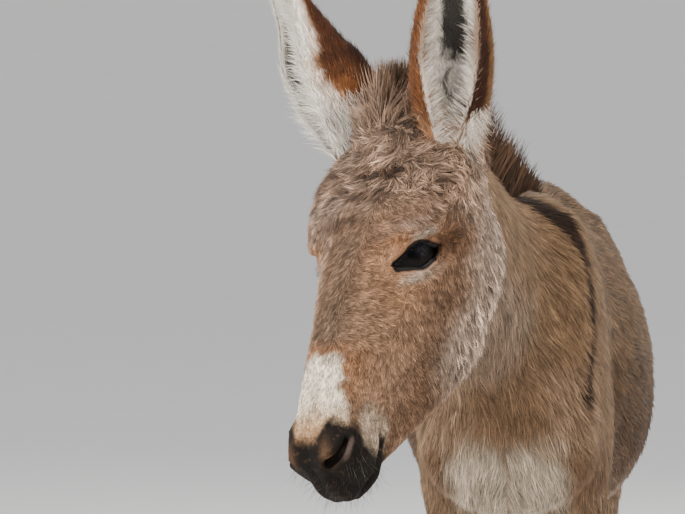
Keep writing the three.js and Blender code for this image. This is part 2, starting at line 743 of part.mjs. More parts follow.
const COLOURS = {
  coat: [0x968374, 0.85],
  mane: [0x4a3a31, 0.9],
  hoof: [0x4b443d, 0.6],
  eye: [0x17100c, 0.08],
};

function build() {
  const parts = {};
  const trunkPart = trunkSolid();
  const neckPart = piece(flat(body), neckRoom, neckGrid, neckFrame);
  const headPart = headSolid();
  // what the ears, the mane and the tail are seated on, a little larger than life
  const skin = 1.6;
  const seats = [
    solid(net(trunkShape(skin), trunkGrid)),
    solid(net((p) => Math.max(body(...p) - skin, depth(neckRoom, p) - 30), neckGrid, neckFrame)),
    solid(net((p) => Math.max(body(...p) - skin, depth([behind(nape)], p) - 30), headGrid, headFrame)),
  ];
  const seated = (part, on) => biggest(on.reduce((s, seat) => s.subtract(seat), part));

  parts.head = [headPart, "coat"];
  for (const side of [1, -1])
    parts[side > 0 ? "eye_left" : "eye_right"] = [eyeSolid(side, 0), "eye"];
  const manePart = seated(solid(net(mane, maneGrid, neckFrame)), seats);
  for (const [name, ear] of Object.entries(EARS))
    parts[name] = [seated(earSolid(ear), [seats[1], seats[2], maneRoom()]), "coat"];
  parts.neck = [neckPart, "coat"];
  parts.mane = [manePart, "mane"];
  parts.trunk = [trunkPart, "coat"];
  for (const leg of LEGS) {
    parts[leg.name] = [legSolid(leg), "coat"];
    parts[leg.name.replace("leg", "hoof")] = [hoofSolid(leg), "hoof"];
  }
  const tailGrid = [around([-30, 30], 17), around([640, 820], 22), around([590, 970], 46)];
  const tailPart = solid(net(flat(tail), tailGrid));
  const tailEnd = [[0, 0, -1], -655];
  parts.tail = [seated(keep(tailPart, [tailEnd]), [seats[0]]), "coat"];
  const tuftGrid = [around([-32, 32], 18), around([765, 830], 20), around([325, 700], 46)];
  const tuft = solid(net(flat((x, y, z) => switchLoft(z, y, x)), tuftGrid));
  parts.tail_switch = [biggest(keep(tuft, [behind(tailEnd)])), "mane"];
  return parts;

  function maneRoom() {
    return solid(net((p) => mane(p) - skin, maneGrid, neckFrame));
  }
}

function toMesh(name, part, kind, shift) {
  const mesh = part.getMesh();
  const count = mesh.vertProperties.length / mesh.numProp;
  const k = WITHERS / BUILD;
  const position = new Float32Array(count * 3);
  for (let i = 0; i < count; i++)
    for (let a = 0; a < 3; a++)
      position[i * 3 + a] = (mesh.vertProperties[i * mesh.numProp + a] + shift[a]) * k;
  const geometry = new THREE.BufferGeometry();
  geometry.setAttribute("position", new THREE.BufferAttribute(position, 3));
  geometry.setIndex(new THREE.BufferAttribute(new Uint32Array(mesh.triVerts), 1));
  geometry.computeVertexNormals();
  const [color, roughness] = COLOURS[kind];
  const material = new THREE.MeshStandardMaterial({ color, roughness, metalness: 0 });
  const out = new THREE.Mesh(geometry, material);
  out.name = name;
  return out;
}

const parts = build();
const low = [Infinity, Infinity, Infinity];
const high = low.map((v) => -v);
for (const [part] of Object.values(parts)) {
  const box = part.boundingBox();
  for (let a = 0; a < 3; a++) {
    low[a] = Math.min(low[a], box.min[a]);
    high[a] = Math.max(high[a], box.max[a]);
  }
}
const shift = [-(low[0] + high[0]) / 2, -(low[1] + high[1]) / 2, -low[2]];

const donkey = new THREE.Group();
donkey.name = "donkey";
for (const [name, [part, kind]] of Object.entries(parts))
  donkey.add(toMesh(name, part, kind, shift));

export default donkey;
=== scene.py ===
import math

import bmesh
import bpy
import numpy as np
from bpy.props import FloatProperty, FloatVectorProperty, IntProperty, PointerProperty
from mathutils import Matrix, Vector


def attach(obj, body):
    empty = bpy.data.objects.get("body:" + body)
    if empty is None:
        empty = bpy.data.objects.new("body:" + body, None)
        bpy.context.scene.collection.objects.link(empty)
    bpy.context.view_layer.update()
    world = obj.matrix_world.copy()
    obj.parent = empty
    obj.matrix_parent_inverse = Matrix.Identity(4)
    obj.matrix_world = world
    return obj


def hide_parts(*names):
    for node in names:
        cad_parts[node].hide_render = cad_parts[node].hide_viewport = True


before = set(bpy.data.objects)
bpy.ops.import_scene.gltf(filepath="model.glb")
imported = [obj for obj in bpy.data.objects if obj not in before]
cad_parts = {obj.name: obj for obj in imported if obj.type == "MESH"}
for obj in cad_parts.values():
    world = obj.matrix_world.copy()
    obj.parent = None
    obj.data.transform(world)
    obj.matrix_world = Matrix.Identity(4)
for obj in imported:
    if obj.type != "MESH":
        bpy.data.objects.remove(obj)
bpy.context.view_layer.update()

bl_info = {
    "name": "Grey donkey, life size",
    "version": (1, 0, 0),
    "blender": (4, 5, 0),
    "location": "3D View > Sidebar > Donkey",
    "description": "Dresses the donkey's solids with skin, eyes, hooves and a coat of solid tufts",
    "category": "Object",
}


# ---------------- sizes

WITHERS = 980.0  # height at the withers, in millimetres
BUILD = 1030.0  # height at the withers for which the stations below are written
SCALE = WITHERS / BUILD / 1000.0  # build millimetres to metres
ORIGIN = np.array([44.436, -13.823, -0.35])  # from the build's origin to the frame's, in build millimetres

POLL = np.array([-115.0, -600.0, 1133.0])
HEAD_TURN, HEAD_DROP, HEAD_LEAN = 22.9, 58.9, -16.8


def unit(v):
    v = np.asarray(v, float)
    return v / np.maximum(np.linalg.norm(v, axis=-1, keepdims=True), 1e-12)


def smooth(a, b, x):
    t = np.clip((x - a) / (b - a), 0, 1)
    return t * t * (3 - 2 * t)


def band(a, b, c, d, x):
    """Rises from 0 at a to 1 at b, and falls from 1 at c to 0 at d."""
    return smooth(a, b, x) * smooth(d, c, x)


def bell(x):
    """1 where x is 0, and next to nothing beyond 2 on both sides."""
    return np.exp(-(x**2))


def arrows(*parts):
    """Rows of three, from numbers or arrays."""
    return np.stack(np.broadcast_arrays(*parts), 1)


def join(a, b, k):
    """Smooth union of two distances, with k the width of the blend."""
    h = np.maximum(k - np.abs(a - b), 0) / k
    return np.minimum(a, b) - h * h * k / 4


def to_scene(p):
    return (np.asarray(p) + ORIGIN) * SCALE


def to_build(p):
    return np.asarray(p) / SCALE - ORIGIN


# ---------------- lofts and ellipsoids


def curve(ts, values, at):
    """A smooth curve through stations that doesn't overshoot them, read at the places in at."""
    ts, values = np.asarray(ts, float), np.asarray(values, float)
    d = np.diff(values) / np.diff(ts)
    slope = np.zeros(len(ts))
    same = d[:-1] * d[1:] > 0
    slope[1:-1][same] = (2 * d[:-1] * d[1:])[same] / (d[:-1] + d[1:])[same]
    slope[0], slope[-1] = d[0], d[-1]
    at = np.clip(at, ts[0], ts[-1])
    i = np.clip(np.searchsorted(ts, at, side="right") - 1, 0, len(ts) - 2)
    h = ts[i + 1] - ts[i]
    x = (at - ts[i]) / h
    return (
        values[i] * (2 * x**3 - 3 * x**2 + 1)
        + slope[i] * h * (x**3 - 2 * x**2 + x)
        + values[i + 1] * (3 * x**2 - 2 * x**3)
        + slope[i + 1] * h * (x**3 - x**2)
    )


class Loft:
    """Egg-like superellipse sections along t: rows of t, top, bottom, half-width, level, roundness, egg.

    A row may leave out its egg, or both of the last two.
    """

    STEP = 2.0
    USUAL = (2.0, 0.0)

    def __init__(self, rows):
        rows = np.array([(*row, *self.USUAL[len(row) - 5:]) for row in rows], float)
        self.first, self.last = rows[0, 0], rows[-1, 0]
        at = np.arange(self.first, self.last + 2 * self.STEP, self.STEP)
        self.table = np.stack([curve(rows[:, 0], rows[:, i], at) for i in range(1, 7)], 1)

    def __call__(self, t, v, x):
        at = np.clip((t - self.first) / self.STEP, 0, len(self.table) - 1.001)
        i = at.astype(int)
        m = (at - i)[:, None]
        top, low, half, level, power, egg = (self.table[i] * (1 - m) + self.table[i + 1] * m).T
        over = v > level
        h = np.where(over, top - level, level - low)
        y = np.abs(v - level) / h
        w = half * (1 + egg * np.clip(np.where(over, y, -y), -1, 1))
        u = np.abs(x) / w
        un, yn = u ** (power - 1), y ** (power - 1)
        s = un * u + yn * y
        g = np.maximum(s, 1e-9) ** (1 / power - 1) * np.hypot(un / w, yn / h)
        d = (s ** (1 / power) - 1) / np.maximum(g, 1e-4)
        out = np.maximum(np.maximum(self.first - t, t - self.last), 0)
        return np.where(out > 0, np.hypot(np.maximum(d, 0), out), d)


def ellipsoid(x, y, z, centre, radii):
    x, y, z = ((c - o) / r for c, o, r in zip((x, y, z), centre, radii))
    k0 = np.sqrt(x * x + y * y + z * z)
    k1 = np.sqrt((x / radii[0]) ** 2 + (y / radii[1]) ** 2 + (z / radii[2]) ** 2)
    return k0 * (k0 - 1) / np.maximum(k1, 1e-9)


# ---------------- the flesh

TRUNK = Loft([
    [-170, 930, 640, 78, 800, 2.2],
    [-90, 1000, 610, 96, 810, 2.2],
    [0, 1022, 585, 112, 790, 2.2],
    [90, 1012, 565, 142, 755, 2.1],
    [200, 994, 551, 170, 745, 2.1],
    [310, 990, 548, 179, 742, 2.15],
    [420, 1004, 562, 171, 748, 1.9],
    [510, 1031, 600, 154, 776, 1.72],
    [600, 1024, 660, 134, 800, 1.8],
    [660, 985, 720, 104, 820, 1.9],
])
TRUNK_FORMS = [  # centre, radii, blend
    ([0, -140, 755], [88, 100, 122], 60),  # breast
    ([34, -176, 708], [44, 52, 72], 30),  # pectorals
    ([62, -70, 830], [44, 105, 170], 50),  # shoulder blade
    ([66, -142, 722], [42, 72, 70], 40),  # point of the shoulder
    ([72, 10, 690], [40, 88, 88], 45),  # triceps
    ([59, 500, 862], [48, 88, 78], 45),  # point of the hip
    ([42, 608, 852], [74, 126, 92], 50),  # croup
    ([58, 680, 820], [62, 82, 120], 50),  # buttock
]
FORELEG = Loft([
    [30, 2, -73, 33, -34],
    [62, 0, -58, 29, -28],
    [74, -2, -54, 27, -26],
    [98, 12, -40, 23, -15],
    [130, 29, -25, 26, 0],
    [165, 25, -21, 20, 2],
    [230, 25, -20, 19, 2],
    [285, 29, -27, 25, 0],
    [330, 30, -37, 33, -3, 2.2],
    [375, 32, -34, 30, -1],
    [440, 40, -36, 33, 2],
    [520, 58, -44, 41, 6],
    [585, 82, -62, 48, 4],
    [660, 80, -105, 52, -15],
    [740, 50, -140, 50, -45],
    [800, 32, -130, 38, -50],
    [870, 5, -100, 18, -50],
])
HINDLEG = Loft([
    [30, 688, 610, 32, 650],
    [62, 684, 624, 28, 656],
    [74, 684, 628, 26, 657],
    [100, 696, 645, 23, 669],
    [135, 716, 656, 26, 684],
    [175, 714, 664, 21, 688],
    [280, 719, 666, 22, 692],
    [340, 728, 656, 29, 694],
    [400, 742, 648, 34, 696, 2.1],
    [445, 748, 634, 33, 690],
    [500, 722, 594, 37, 662],
    [570, 708, 535, 50, 622],
    [650, 722, 470, 66, 592],
    [740, 748, 440, 73, 590],
    [830, 752, 450, 62, 600],
    [900, 735, 475, 40, 605],
    [970, 690, 530, 10, 610],
])
LEGS = {  # loft, side, half the stance at the top and at the foot, top of the step, step
    "foreleg_left": (FORELEG, 1, 68, 78, 700, -8),
    "foreleg_right": (FORELEG, -1, 68, 78, 700, 22),
    "hindleg_left": (HINDLEG, 1, 78, 92, 800, 34),
    "hindleg_right": (HINDLEG, -1, 78, 92, 800, -38),
}
SKULL = Loft([
    [-24, -50, -116, 48, -80, 2.1],
    [0, -26, -130, 76, -72, 2.2, 0.1],
    [40, -4, -142, 96, -60, 2.4, 0.15],
    [85, 6, -148, 102, -54, 2.5, 0.14],
    [120, 6, -148, 98, -52, 2.5, 0.1],
    [147, 4, -144, 83, -52, 2.5, 0.05],
    [166, 2, -140, 70, -52, 2.5],
    [190, 1, -134, 62, -52, 2.5],
    [220, 0, -128, 57, -54, 2.5],
    [265, -3, -118, 51, -56, 2.4],
    [330, -8, -106, 45, -56, 2.3],
    [385, -18, -100, 43, -58, 2.2],
    [420, -36, -96, 34, -66],
])
JAW = Loft([
    [30, -100, -152, 44, -124],
    [70, -96, -178, 56, -136, 2.2],
    [110, -92, -195, 63, -146, 2.6],
    [160, -88, -206, 62, -148, 2.8],
    [205, -86, -207, 57, -148, 2.8],
    [245, -84, -196, 50, -142, 2.7],
    [285, -82, -176, 44, -130, 2.6],
    [325, -80, -154, 38, -118, 2.4],
    [360, -80, -134, 33, -108, 2.2],
    [385, -80, -118, 29, -100],
    [405, -82, -106, 22, -94],
])
HEAD_FORMS = [
    ([122, -120, 46], [74, 64, 32], 26),  # cheek
    ([134, -30, 64], [34, 26, 28], 14),  # brow
    ([166, -46, 38], [38, 32, 31], 12),  # lids over the eye
    ([2, -34, 0], [44, 52, 62], 24),  # crown
    ([390, -54, 22], [34, 34, 30], 16),  # nostril
    ([410, -76, 8], [25, 30, 30], 14),  # upper lip
    ([398, -98, 6], [23, 22, 24], 12),  # chin
]
NECK = Loft([
    [-60, 170, -195, 86, -10, 2.0, -0.1],
    [60, 155, -175, 82, -10, 2.0, -0.12],
    [180, 128, -145, 69, -8, 2.0, -0.14],
    [300, 112, -122, 61, -2, 2.0, -0.1],
    [400, 104, -108, 57, 0, 2.0, -0.05],
    [520, 92, -98, 54, 0],
])
TAIL = Loft([
    [560, 812, 776, 16, 794],
    [700, 806, 766, 18, 786],
    [800, 796, 750, 20, 773],
    [870, 778, 720, 23, 750],
    [925, 748, 676, 26, 712],
    [960, 720, 650, 26, 690],
])


def head_axes():
    t, d, lean = np.radians([HEAD_TURN, HEAD_DROP, HEAD_LEAN])
    along = np.array([-np.sin(t) * np.cos(d), -np.cos(t) * np.cos(d), -np.sin(d)])
    face = np.array([-np.sin(t) * np.sin(d), -np.cos(t) * np.sin(d), np.cos(d)])
    left = np.array([np.cos(t), -np.sin(t), 0])
    return np.array([
        along,
        face * np.cos(lean) + left * np.sin(lean),
        left * np.cos(lean) - face * np.sin(lean),
    ])


HEAD = head_axes()
NECK_BASE = np.array([0.0, -40.0, 845.0])
NECK_TOP = POLL + np.array([42, -92, 0]) @ HEAD
NECK_ALONG = unit(NECK_TOP - NECK_BASE)
NECK_UP = unit(np.array([0, 0, 1]) - NECK_ALONG * NECK_ALONG[2])
NECK_AXES = np.array([NECK_ALONG, NECK_UP, np.cross(NECK_UP, NECK_ALONG)])
NAPE = unit(HEAD[0] * 0.899 + HEAD[1] * 0.437)
NAPE_OFFSET = NAPE @ POLL - 52


def to_head(p):
    return (p - POLL) @ HEAD.T


def from_head(q):
    return POLL + np.asarray(q, float) @ HEAD


def to_neck(p):
    return (p - NECK_BASE) @ NECK_AXES.T


def leg_middle(leg, z):
    """Where a leg's loft stands at height z: its x, and how far it is stepped back."""
    _, side, top, foot, hip, step = LEGS[leg]
    return side * (foot + (top - foot) * smooth(150, 700, z)), step * (1 - smooth(120, hip, z))


def leg_shape(leg, p):
    x, step = leg_middle(leg, p[:, 2])
    return LEGS[leg][0](p[:, 2], p[:, 1] - step, p[:, 0] - x)


def trunk_shape(p):
    x, y, z = np.abs(p[:, 0]), p[:, 1], p[:, 2]
    d = TRUNK(y, z, x)
    for centre, radii, blend in TRUNK_FORMS:
        d = join(d, ellipsoid(x, y, z, centre, radii), blend)
    return d


def neck_shape(p):
    t, v, w = to_neck(p).T
    return NECK(t, v, w)


def head_shape(q):
    u, v, w = q.T
    s = np.abs(w)
    d = join(SKULL(u, v, w), JAW(u, v, w), 22)
    for centre, radii, blend in HEAD_FORMS:
        d = join(d, ellipsoid(u, v, s, centre, radii), blend)
    return d


def body(p):
    """Distance to the outside of the coat, near enough, in build millimetres."""
    x, y, z = p.T
    d = trunk_shape(p)
    m = y < 200
    d[m] = join(d[m], neck_shape(p[m]), 70)
    for leg in LEGS:
        m = (LEGS[leg][1] * x >= -60) & (z < 1010)
        d[m] = join(d[m], leg_shape(leg, p[m]), 36)
    m = y < -300
    if m.any():
        d[m] = join(d[m], head_shape(to_head(p[m])), 34)
    m = y > 600
    d[m] = join(d[m], TAIL(z[m], y[m], x[m]), 20)
    return d


# ---------------- noise, markings and the lie of the coat


def lattice(cell, seed):
    """A repeatable random number from 0 to 1 for each whole-numbered cell."""
    h = (cell[..., 0] * 73856093) ^ (cell[..., 1] * 19349663) ^ (cell[..., 2] * 83492791) ^ (seed * 40503)
    h = (h ^ (h >> 13)) * 1274126177
    h = h ^ (h >> 16)
    return (h & 0xFFFFFF) / float(0xFFFFFF)


def noise(p, size, seed):
    """Smooth noise from -1 to 1 with features of a size, in build millimetres."""
    q = np.asarray(p) / size + 1000.0
    cell = np.floor(q).astype(np.int64)
    f = q - cell
    f = f * f * (3 - 2 * f)
    total = 0
    for corner in range(8):
        step = np.array([corner & 1, (corner >> 1) & 1, corner >> 2])
        weight = np.prod(np.where(step, f, 1 - f), axis=-1)
        total = total + weight * lattice(cell + step, seed)
    return total * 2 - 1


def clumps(p, size, seed):
    """The middle of the lock that each point belongs to, and a random number for that lock."""
    q = np.asarray(p) / size + 1000.0
    cell = np.floor(q).astype(np.int64)
    best = np.full(len(q), 1e9)
    middle = q.copy()
    mark = np.zeros(len(q))
    for step in np.ndindex(3, 3, 3):
        c = cell + np.array(step) - 1
        point = c + np.stack([lattice(c, seed + i) for i in range(3)], -1)
        d = ((point - q) ** 2).sum(-1)
        near = d < best
        best[near], middle[near] = d[near], point[near]
        mark[near] = lattice(c, seed + 7)[near]
    return (middle - 1000.0) * size, mark


def linear(rgb):
    """A colour given as 0 to 255 on a screen, as the light it reflects."""
    c = np.asarray(rgb, float) / 255
    return np.where(c <= 0.04045, c / 12.92, ((c + 0.055) / 1.055) ** 2.4)


PAINT = {}  # the colours in use, by name, filled from the sidebar when an operator runs
EYE_POINT = np.array([166.0, -42, 64])  # the middle of the left eye's opening, in the head
EYE_OUT, EYE_LINE = unit([0.33, 0.25, 0.91]), unit([0.75, 0.52, -0.41])  # out of it, and along the lids
NOSTRIL_POINT = np.array([407.0, -33, 39])
NOSTRIL_OUT, NOSTRIL_LINE = unit([0.4, 0.6, 0.7]), unit([0.86, 0, -0.51])
SHOULDER_STRIPE = ([737, 809, 857, 933, 973, 1001], [-194, -165, -138, -119, -113, -106])


def eye_frame():
    """The eye's own axes in the head: towards the inner corner, across the lids, out of the head."""
    line = unit(EYE_LINE - EYE_OUT * (EYE_LINE @ EYE_OUT))
    return np.array([line, np.cross(EYE_OUT, line), EYE_OUT])


EYE_FRAME = eye_frame()


def folded(q):
    """Points of the head, with its right side laid over its left."""
    return np.stack([q[:, 0], q[:, 1], np.abs(q[:, 2])], 1)


def in_eye(q):
    """Points of the head in the frame of the nearer eye."""
    return (folded(q) - EYE_POINT) @ EYE_FRAME.T


def mouth_line(u):
    return -93 - 0.12 * (u - 360)


def head_weight(p):
    """1 on the head, 0 on the neck behind the nape and throat."""
    return smooth(-14, 26, p @ NAPE - NAPE_OFFSET) * smooth(-290, -330, p[:, 1])


def leg_weight(p):
    return smooth(600, 480, p[:, 2])


def eye_distance(q):
    """How far a point of the head is from the nearer eye's opening, longer along the lids."""
    d = folded(q) - EYE_POINT
    a = d @ EYE_LINE
    rest = np.sqrt(np.maximum((d**2).sum(1) - a * a, 0))
    return np.hypot(a / 1.55, rest)


def mix(a, b, weight):
    return a + (b - a) * np.clip(weight, 0, 1)[:, None]


def spot(x, y, at, size):
    return np.exp(-(((x - at[0]) / size[0]) ** 2) - ((y - at[1]) / size[1]) ** 2)


def painted(c, marks):
    """Lays markings over a colour in turn: each is a paint, its brightness, and how much of it shows."""
    for name, bright, weight in marks:
        c = mix(c, PAINT[name] * bright, weight)
    return c


def round_eye(c, q, rough):
    """Rust above the inner corner, cream and tan under it, and dark brown behind the outer corner."""
    x, y, z = in_eye(q).T
    near = smooth(-40, -20, z)
    x, y = x + 5 * rough, y + 4 * rough
    return painted(c, [(name, 1, much * near * spot(x, y, at, size)) for name, much, at, size in (
        ("rust", 0.45, (0, 6), (52, 40)),
        ("rust", 0.95, (9, 26), (12, 9)),
        ("tan", 0.75, (34, -28), (20, 15)),
        ("eye_brown", 0.95, (-46, -3), (19, 19)),
        ("cream", 0.5, (16, -19), (16, 6)),
        ("frost_and_light", 0.5, (-2, -24), (22, 7)),
        ("frost_and_light", 0.55, (-8, 34), (30, 9)),
        # painted shade: a thin brown line in the crease above the eye
        ("brown", 0.7, (-8, 27), (15, 2.4)),
        ("cream", 0.7, (-13, 19.5), (14, 5)),
    )])


def head_colour(q):
    u, v, w = q.T
    s = np.abs(w)
    rough = noise(q, 9, 31)
    fine = noise(q, 3.2, 32)
    front = smooth(-52, -16, v)
    shade_bars = noise(np.stack([2.2 * u, 2.2 * v, 0.9 * w], 1), 30, 35)
    c = painted(np.tile(PAINT["cheek"], (len(q), 1)), (
        ("forehead", 1, smooth(150, 110, u) * smooth(-100, -50, v)),
        ("face", 1, smooth(150, 210, u + 10 * rough) * smooth(-110, -60, v) * smooth(14, 34, s)),
        ("taupe", 0.7, 0.65 * band(130, 175, 270, 310, u) * front * smooth(40, 14, s)),
        ("taupe", 0.58, 0.6 * band(215, 245, 280, 306, u) * front * smooth(24, 6, s + 4 * rough)),
        # painted light: the right side of the face made paler where light grazes it
        ("frost_and_light", 1, 0.55 * smooth(-20, -36, w) * band(90, 125, 270, 310, u) * smooth(-70, -36, v)),
        ("brown", 0.9, 0.6 * smooth(-95, -120, v) * band(210, 260, 320, 345, u)),
        # pale hair along the jaw, made brighter still as painted light on its lit lower rim
        ("frost_and_light", 1.25, 0.9 * smooth(-112, -155, v + 5 * rough) * smooth(300, 230, u)),
        ("frost_and_light", 1.1, 0.6 * smooth(-85, -118, v + 5 * rough) * band(5, 35, 130, 175, u)),
        # painted shade: dark broken bars across the forehead, in the gaps between the wool locks
        ("dark", 1, 0.7 * smooth(0.1, 0.45, shade_bars) * band(50, 80, 130, 165, u) * smooth(-80, -50, v)),
        ("cream", 1, 0.75 * smooth(-150, -185, v) * smooth(34, 12, s)),
        ("frost_and_light", 1.15, 0.4 * smooth(-40, -75, v + 6 * rough) * band(15, 45, 95, 120, u)),
    ))
    c = round_eye(c, q, rough)
    # the white nose: its ragged outline, its half-width, and the edge where the muzzle begins
    ragged = 5 * rough + 2.5 * fine
    edge = 398 - 23 * smooth(13, 28, s) + 11 * smooth(-46, -56, v) * smooth(30, 40, s)
    edge = edge + 2.5 * rough + 1.5 * fine
    half = curve([300, 345, 377], [27, 34, 45], u)
    blaze = smooth(half + 4, half - 5, s + 0.9 * ragged) * smooth(-48, -34, v)
    blaze = blaze * smooth(297, 309, u + ragged + 0.12 * s)
    rusty = smooth(edge - 24, edge - 6, u + 2 * ragged) * smooth(30, 12, s) * (0.55 + 0.3 * fine)
    # the pale patch behind the corner of the mouth, the dark muzzle, and the paler wing of each nostril
    mealy = smooth(328, 350, u + ragged) * smooth(-42, -52, v) * smooth(-106, -96, v + 0.5 * ragged)
    dark = smooth(edge - 14, edge + 7, u + 4 * fine)
    p = folded(q) - NOSTRIL_POINT
    wing = smooth(5.5, 2.5, np.abs(nostril(q) - 2.6)) * smooth(2, 10, w) * smooth(9, -7, p @ NOSTRIL_LINE)
    wing = 0.75 * wing * smooth(0, 6, p @ np.cross(NOSTRIL_LINE, NOSTRIL_OUT))
    specks = smooth(0.55, 0.72, noise(q, 2.1, 33)) * (blaze * smooth(325, 350, u) + 0.7 * mealy)
    return painted(c, (
        ("rust", 1.1, 0.5 * smooth(278, 300, u + ragged) * front),
        ("blaze", 1, blaze),
        ("blaze_low", 1, 0.95 * blaze * smooth(345, 378, u + ragged)),
        ("rust", 1.05, blaze * rusty),
        ("brown", 1, 0.8 * smooth(330, 350, u) * smooth(9, 3, np.abs(s - half - 4)) * smooth(-24, -36, v)),
        ("mealy", 1, mealy * (0.85 + 0.15 * fine)),
        ("muzzle", 1, dark),
        ("muzzle", 1, smooth(9, 5, np.abs(v - mouth_line(u))) * smooth(352, 362, u)),
        ("brown", 0.7, 0.8 * dark * spot(u, s, (412, 27), (16, 7)) * smooth(-50, -30, v)),
        ("wing", 0.85, dark * wing),
        ("brown", 0.5, 0.7 * specks),
        ("brown", 1, 0.25 * (1 - blaze) * (1 - dark) * smooth(0.2, 0.6, noise(q, 4.5, 34))),
    ))


def coat_colour(p):
    """Colour of the coat at points in build millimetres, without the play of single hairs."""
    x, y, z = p.T
    s = np.abs(x)
    t, v, _ = to_neck(p).T
    wide, rough, fine = noise(p, 70, 11), noise(p, 22, 12), noise(p, 7, 13)
    behind = smooth(-60, 40, y)
    # painted shade: behind the shoulders the trunk is darker, and browner and darker still low on the barrel
    barrel_shade = np.array([0.2, 0.28, 0.4]) * (behind * band(620, 690, 740, 860, z))[:, None]
    c = np.tile(PAINT["body"], (len(p), 1)) * (1 + 0.09 * wide + 0.12 * rough)[:, None]
    c = mix(c, PAINT["brown"] * 0.75, 0.8 * smooth(860, 640, z + 20 * rough) * behind * smooth(600, 640, z))
    c = c * (1 - 0.25 * smooth(-60, 20, y) * smooth(620, 700, z))[:, None] * (1 - barrel_shade)
    # painted shadow: the top of the neck darker on its lower side, under the head
    c = c * (1 - 0.2 * smooth(420, 520, t) * smooth(40, -40, v))[:, None]
    # pale underneath and between the legs, and the pale chest
    legs = np.maximum(smooth(120, 70, y), smooth(430, 520, y))
    under = smooth(640, 575, z + 12 * rough) * smooth(150 - 62 * legs, 90 - 32 * legs, s) * smooth(-60, 60, y)
    chest = smooth(742, 690, z + 16 * rough + 7 * fine) * smooth(88, 58, s + 6 * rough + 3 * fine)
    parting = smooth(5, 1.5, np.abs(x + 3 * rough)) * band(540, 580, 720, 760, z) * smooth(-60, -140, y)
    elbow = band(620, 650, 690, 720, z) * smooth(40, 18, np.abs(s - 92)) * smooth(-60, -120, y)
    # the stripe down the back and the cross over the shoulders
    back = smooth(13, 7, s + 3 * rough) * smooth(930, 960, z) * smooth(-60, 0, y)
    width = 7 + 12 * smooth(940, 1000, z) + 0.8 * fine
    cross = smooth(width + 3.5, width - 1, np.abs(y - curve(*SHOULDER_STRIPE, z)) + 1.2 * rough)
    cross = cross * smooth(735, 775, z) * (y < 0)
    leg = leg_weight(p)
    c = painted(c, (
        # painted shade: brown under the neck
        ("brown", 1, 0.3 * smooth(-70, -130, v) * band(60, 130, 380, 500, t)),
        ("frost_and_light", 1, 0.4 * band(-150, -120, -60, 0, v) * band(180, 240, 340, 420, t)),
        ("cream", 1, under * smooth(520, 560, z)),
        ("brown", 1, 0.8 * elbow),
        ("taupe", 1.2, 0.7 * band(700, 725, 790, 840, z) * smooth(-125, -165, y) * smooth(30, 70, s)),
        ("chest", 1, chest * smooth(-40, -120, y) * smooth(540, 580, z)),
        ("brown", 0.9, 0.55 * parting),
        ("dark", 0.75, np.maximum(back, cross * 0.97)),
        # legs: paler inside, and darker above the hooves
        ("leg", (1 + 0.06 * rough)[:, None], 0.8 * leg),
        ("cream", 1, 0.75 * leg * smooth(78, 55, s) * smooth(120, 220, z)),
        ("brown", 1, 0.7 * leg * smooth(130, 90, z)),
        # tail
        ("brown", 1, 0.5 * smooth(690, 720, y) * smooth(32, 24, s) * smooth(930, 880, z)),
    ))
    m = y < -280
    if m.any():
        c[m] = mix(c[m], head_colour(to_head(p[m])), head_weight(p[m]))
    return c


def coat_length(p):
    """Length of the hair, in build millimetres."""
    _, y, z = p.T
    length = np.full(len(p), 20.0)
    length = length + 3 * smooth(640, 580, z) * smooth(-100, 50, y)
    leg = leg_weight(p)
    length = length * (1 - leg) + leg * (7 + 5 * smooth(250, 480, z) + 5 * smooth(110, 70, z))
    m = y < -280
    if m.any():
        q = to_head(p[m])
        u, v, _ = q.T
        h = 8.0 + 6.5 * smooth(140, 70, u) * smooth(-110, -60, v) + 8 * smooth(30, -10, u)
        h = h - 1.5 * smooth(200, 250, u)
        h = h + 4.5 * smooth(-115, -165, v) * smooth(340, 270, u)
        h = h - 2.0 * smooth(285, 330, u) * smooth(-130, -90, v)
        h = np.where(u > 370, h + (1.7 - h) * smooth(368, 392, u), h)
        e = eye_distance(q)
        h = 2.4 + (h - 2.4) * smooth(15, 42, e)
        k = head_weight(p[m])
        length[m] = length[m] * (1 - k) + h * k
    return length


def coat_depth(p):
    """How far the skin lies inside the outside of the coat."""
    return 0.3 * coat_length(p) + 0.3


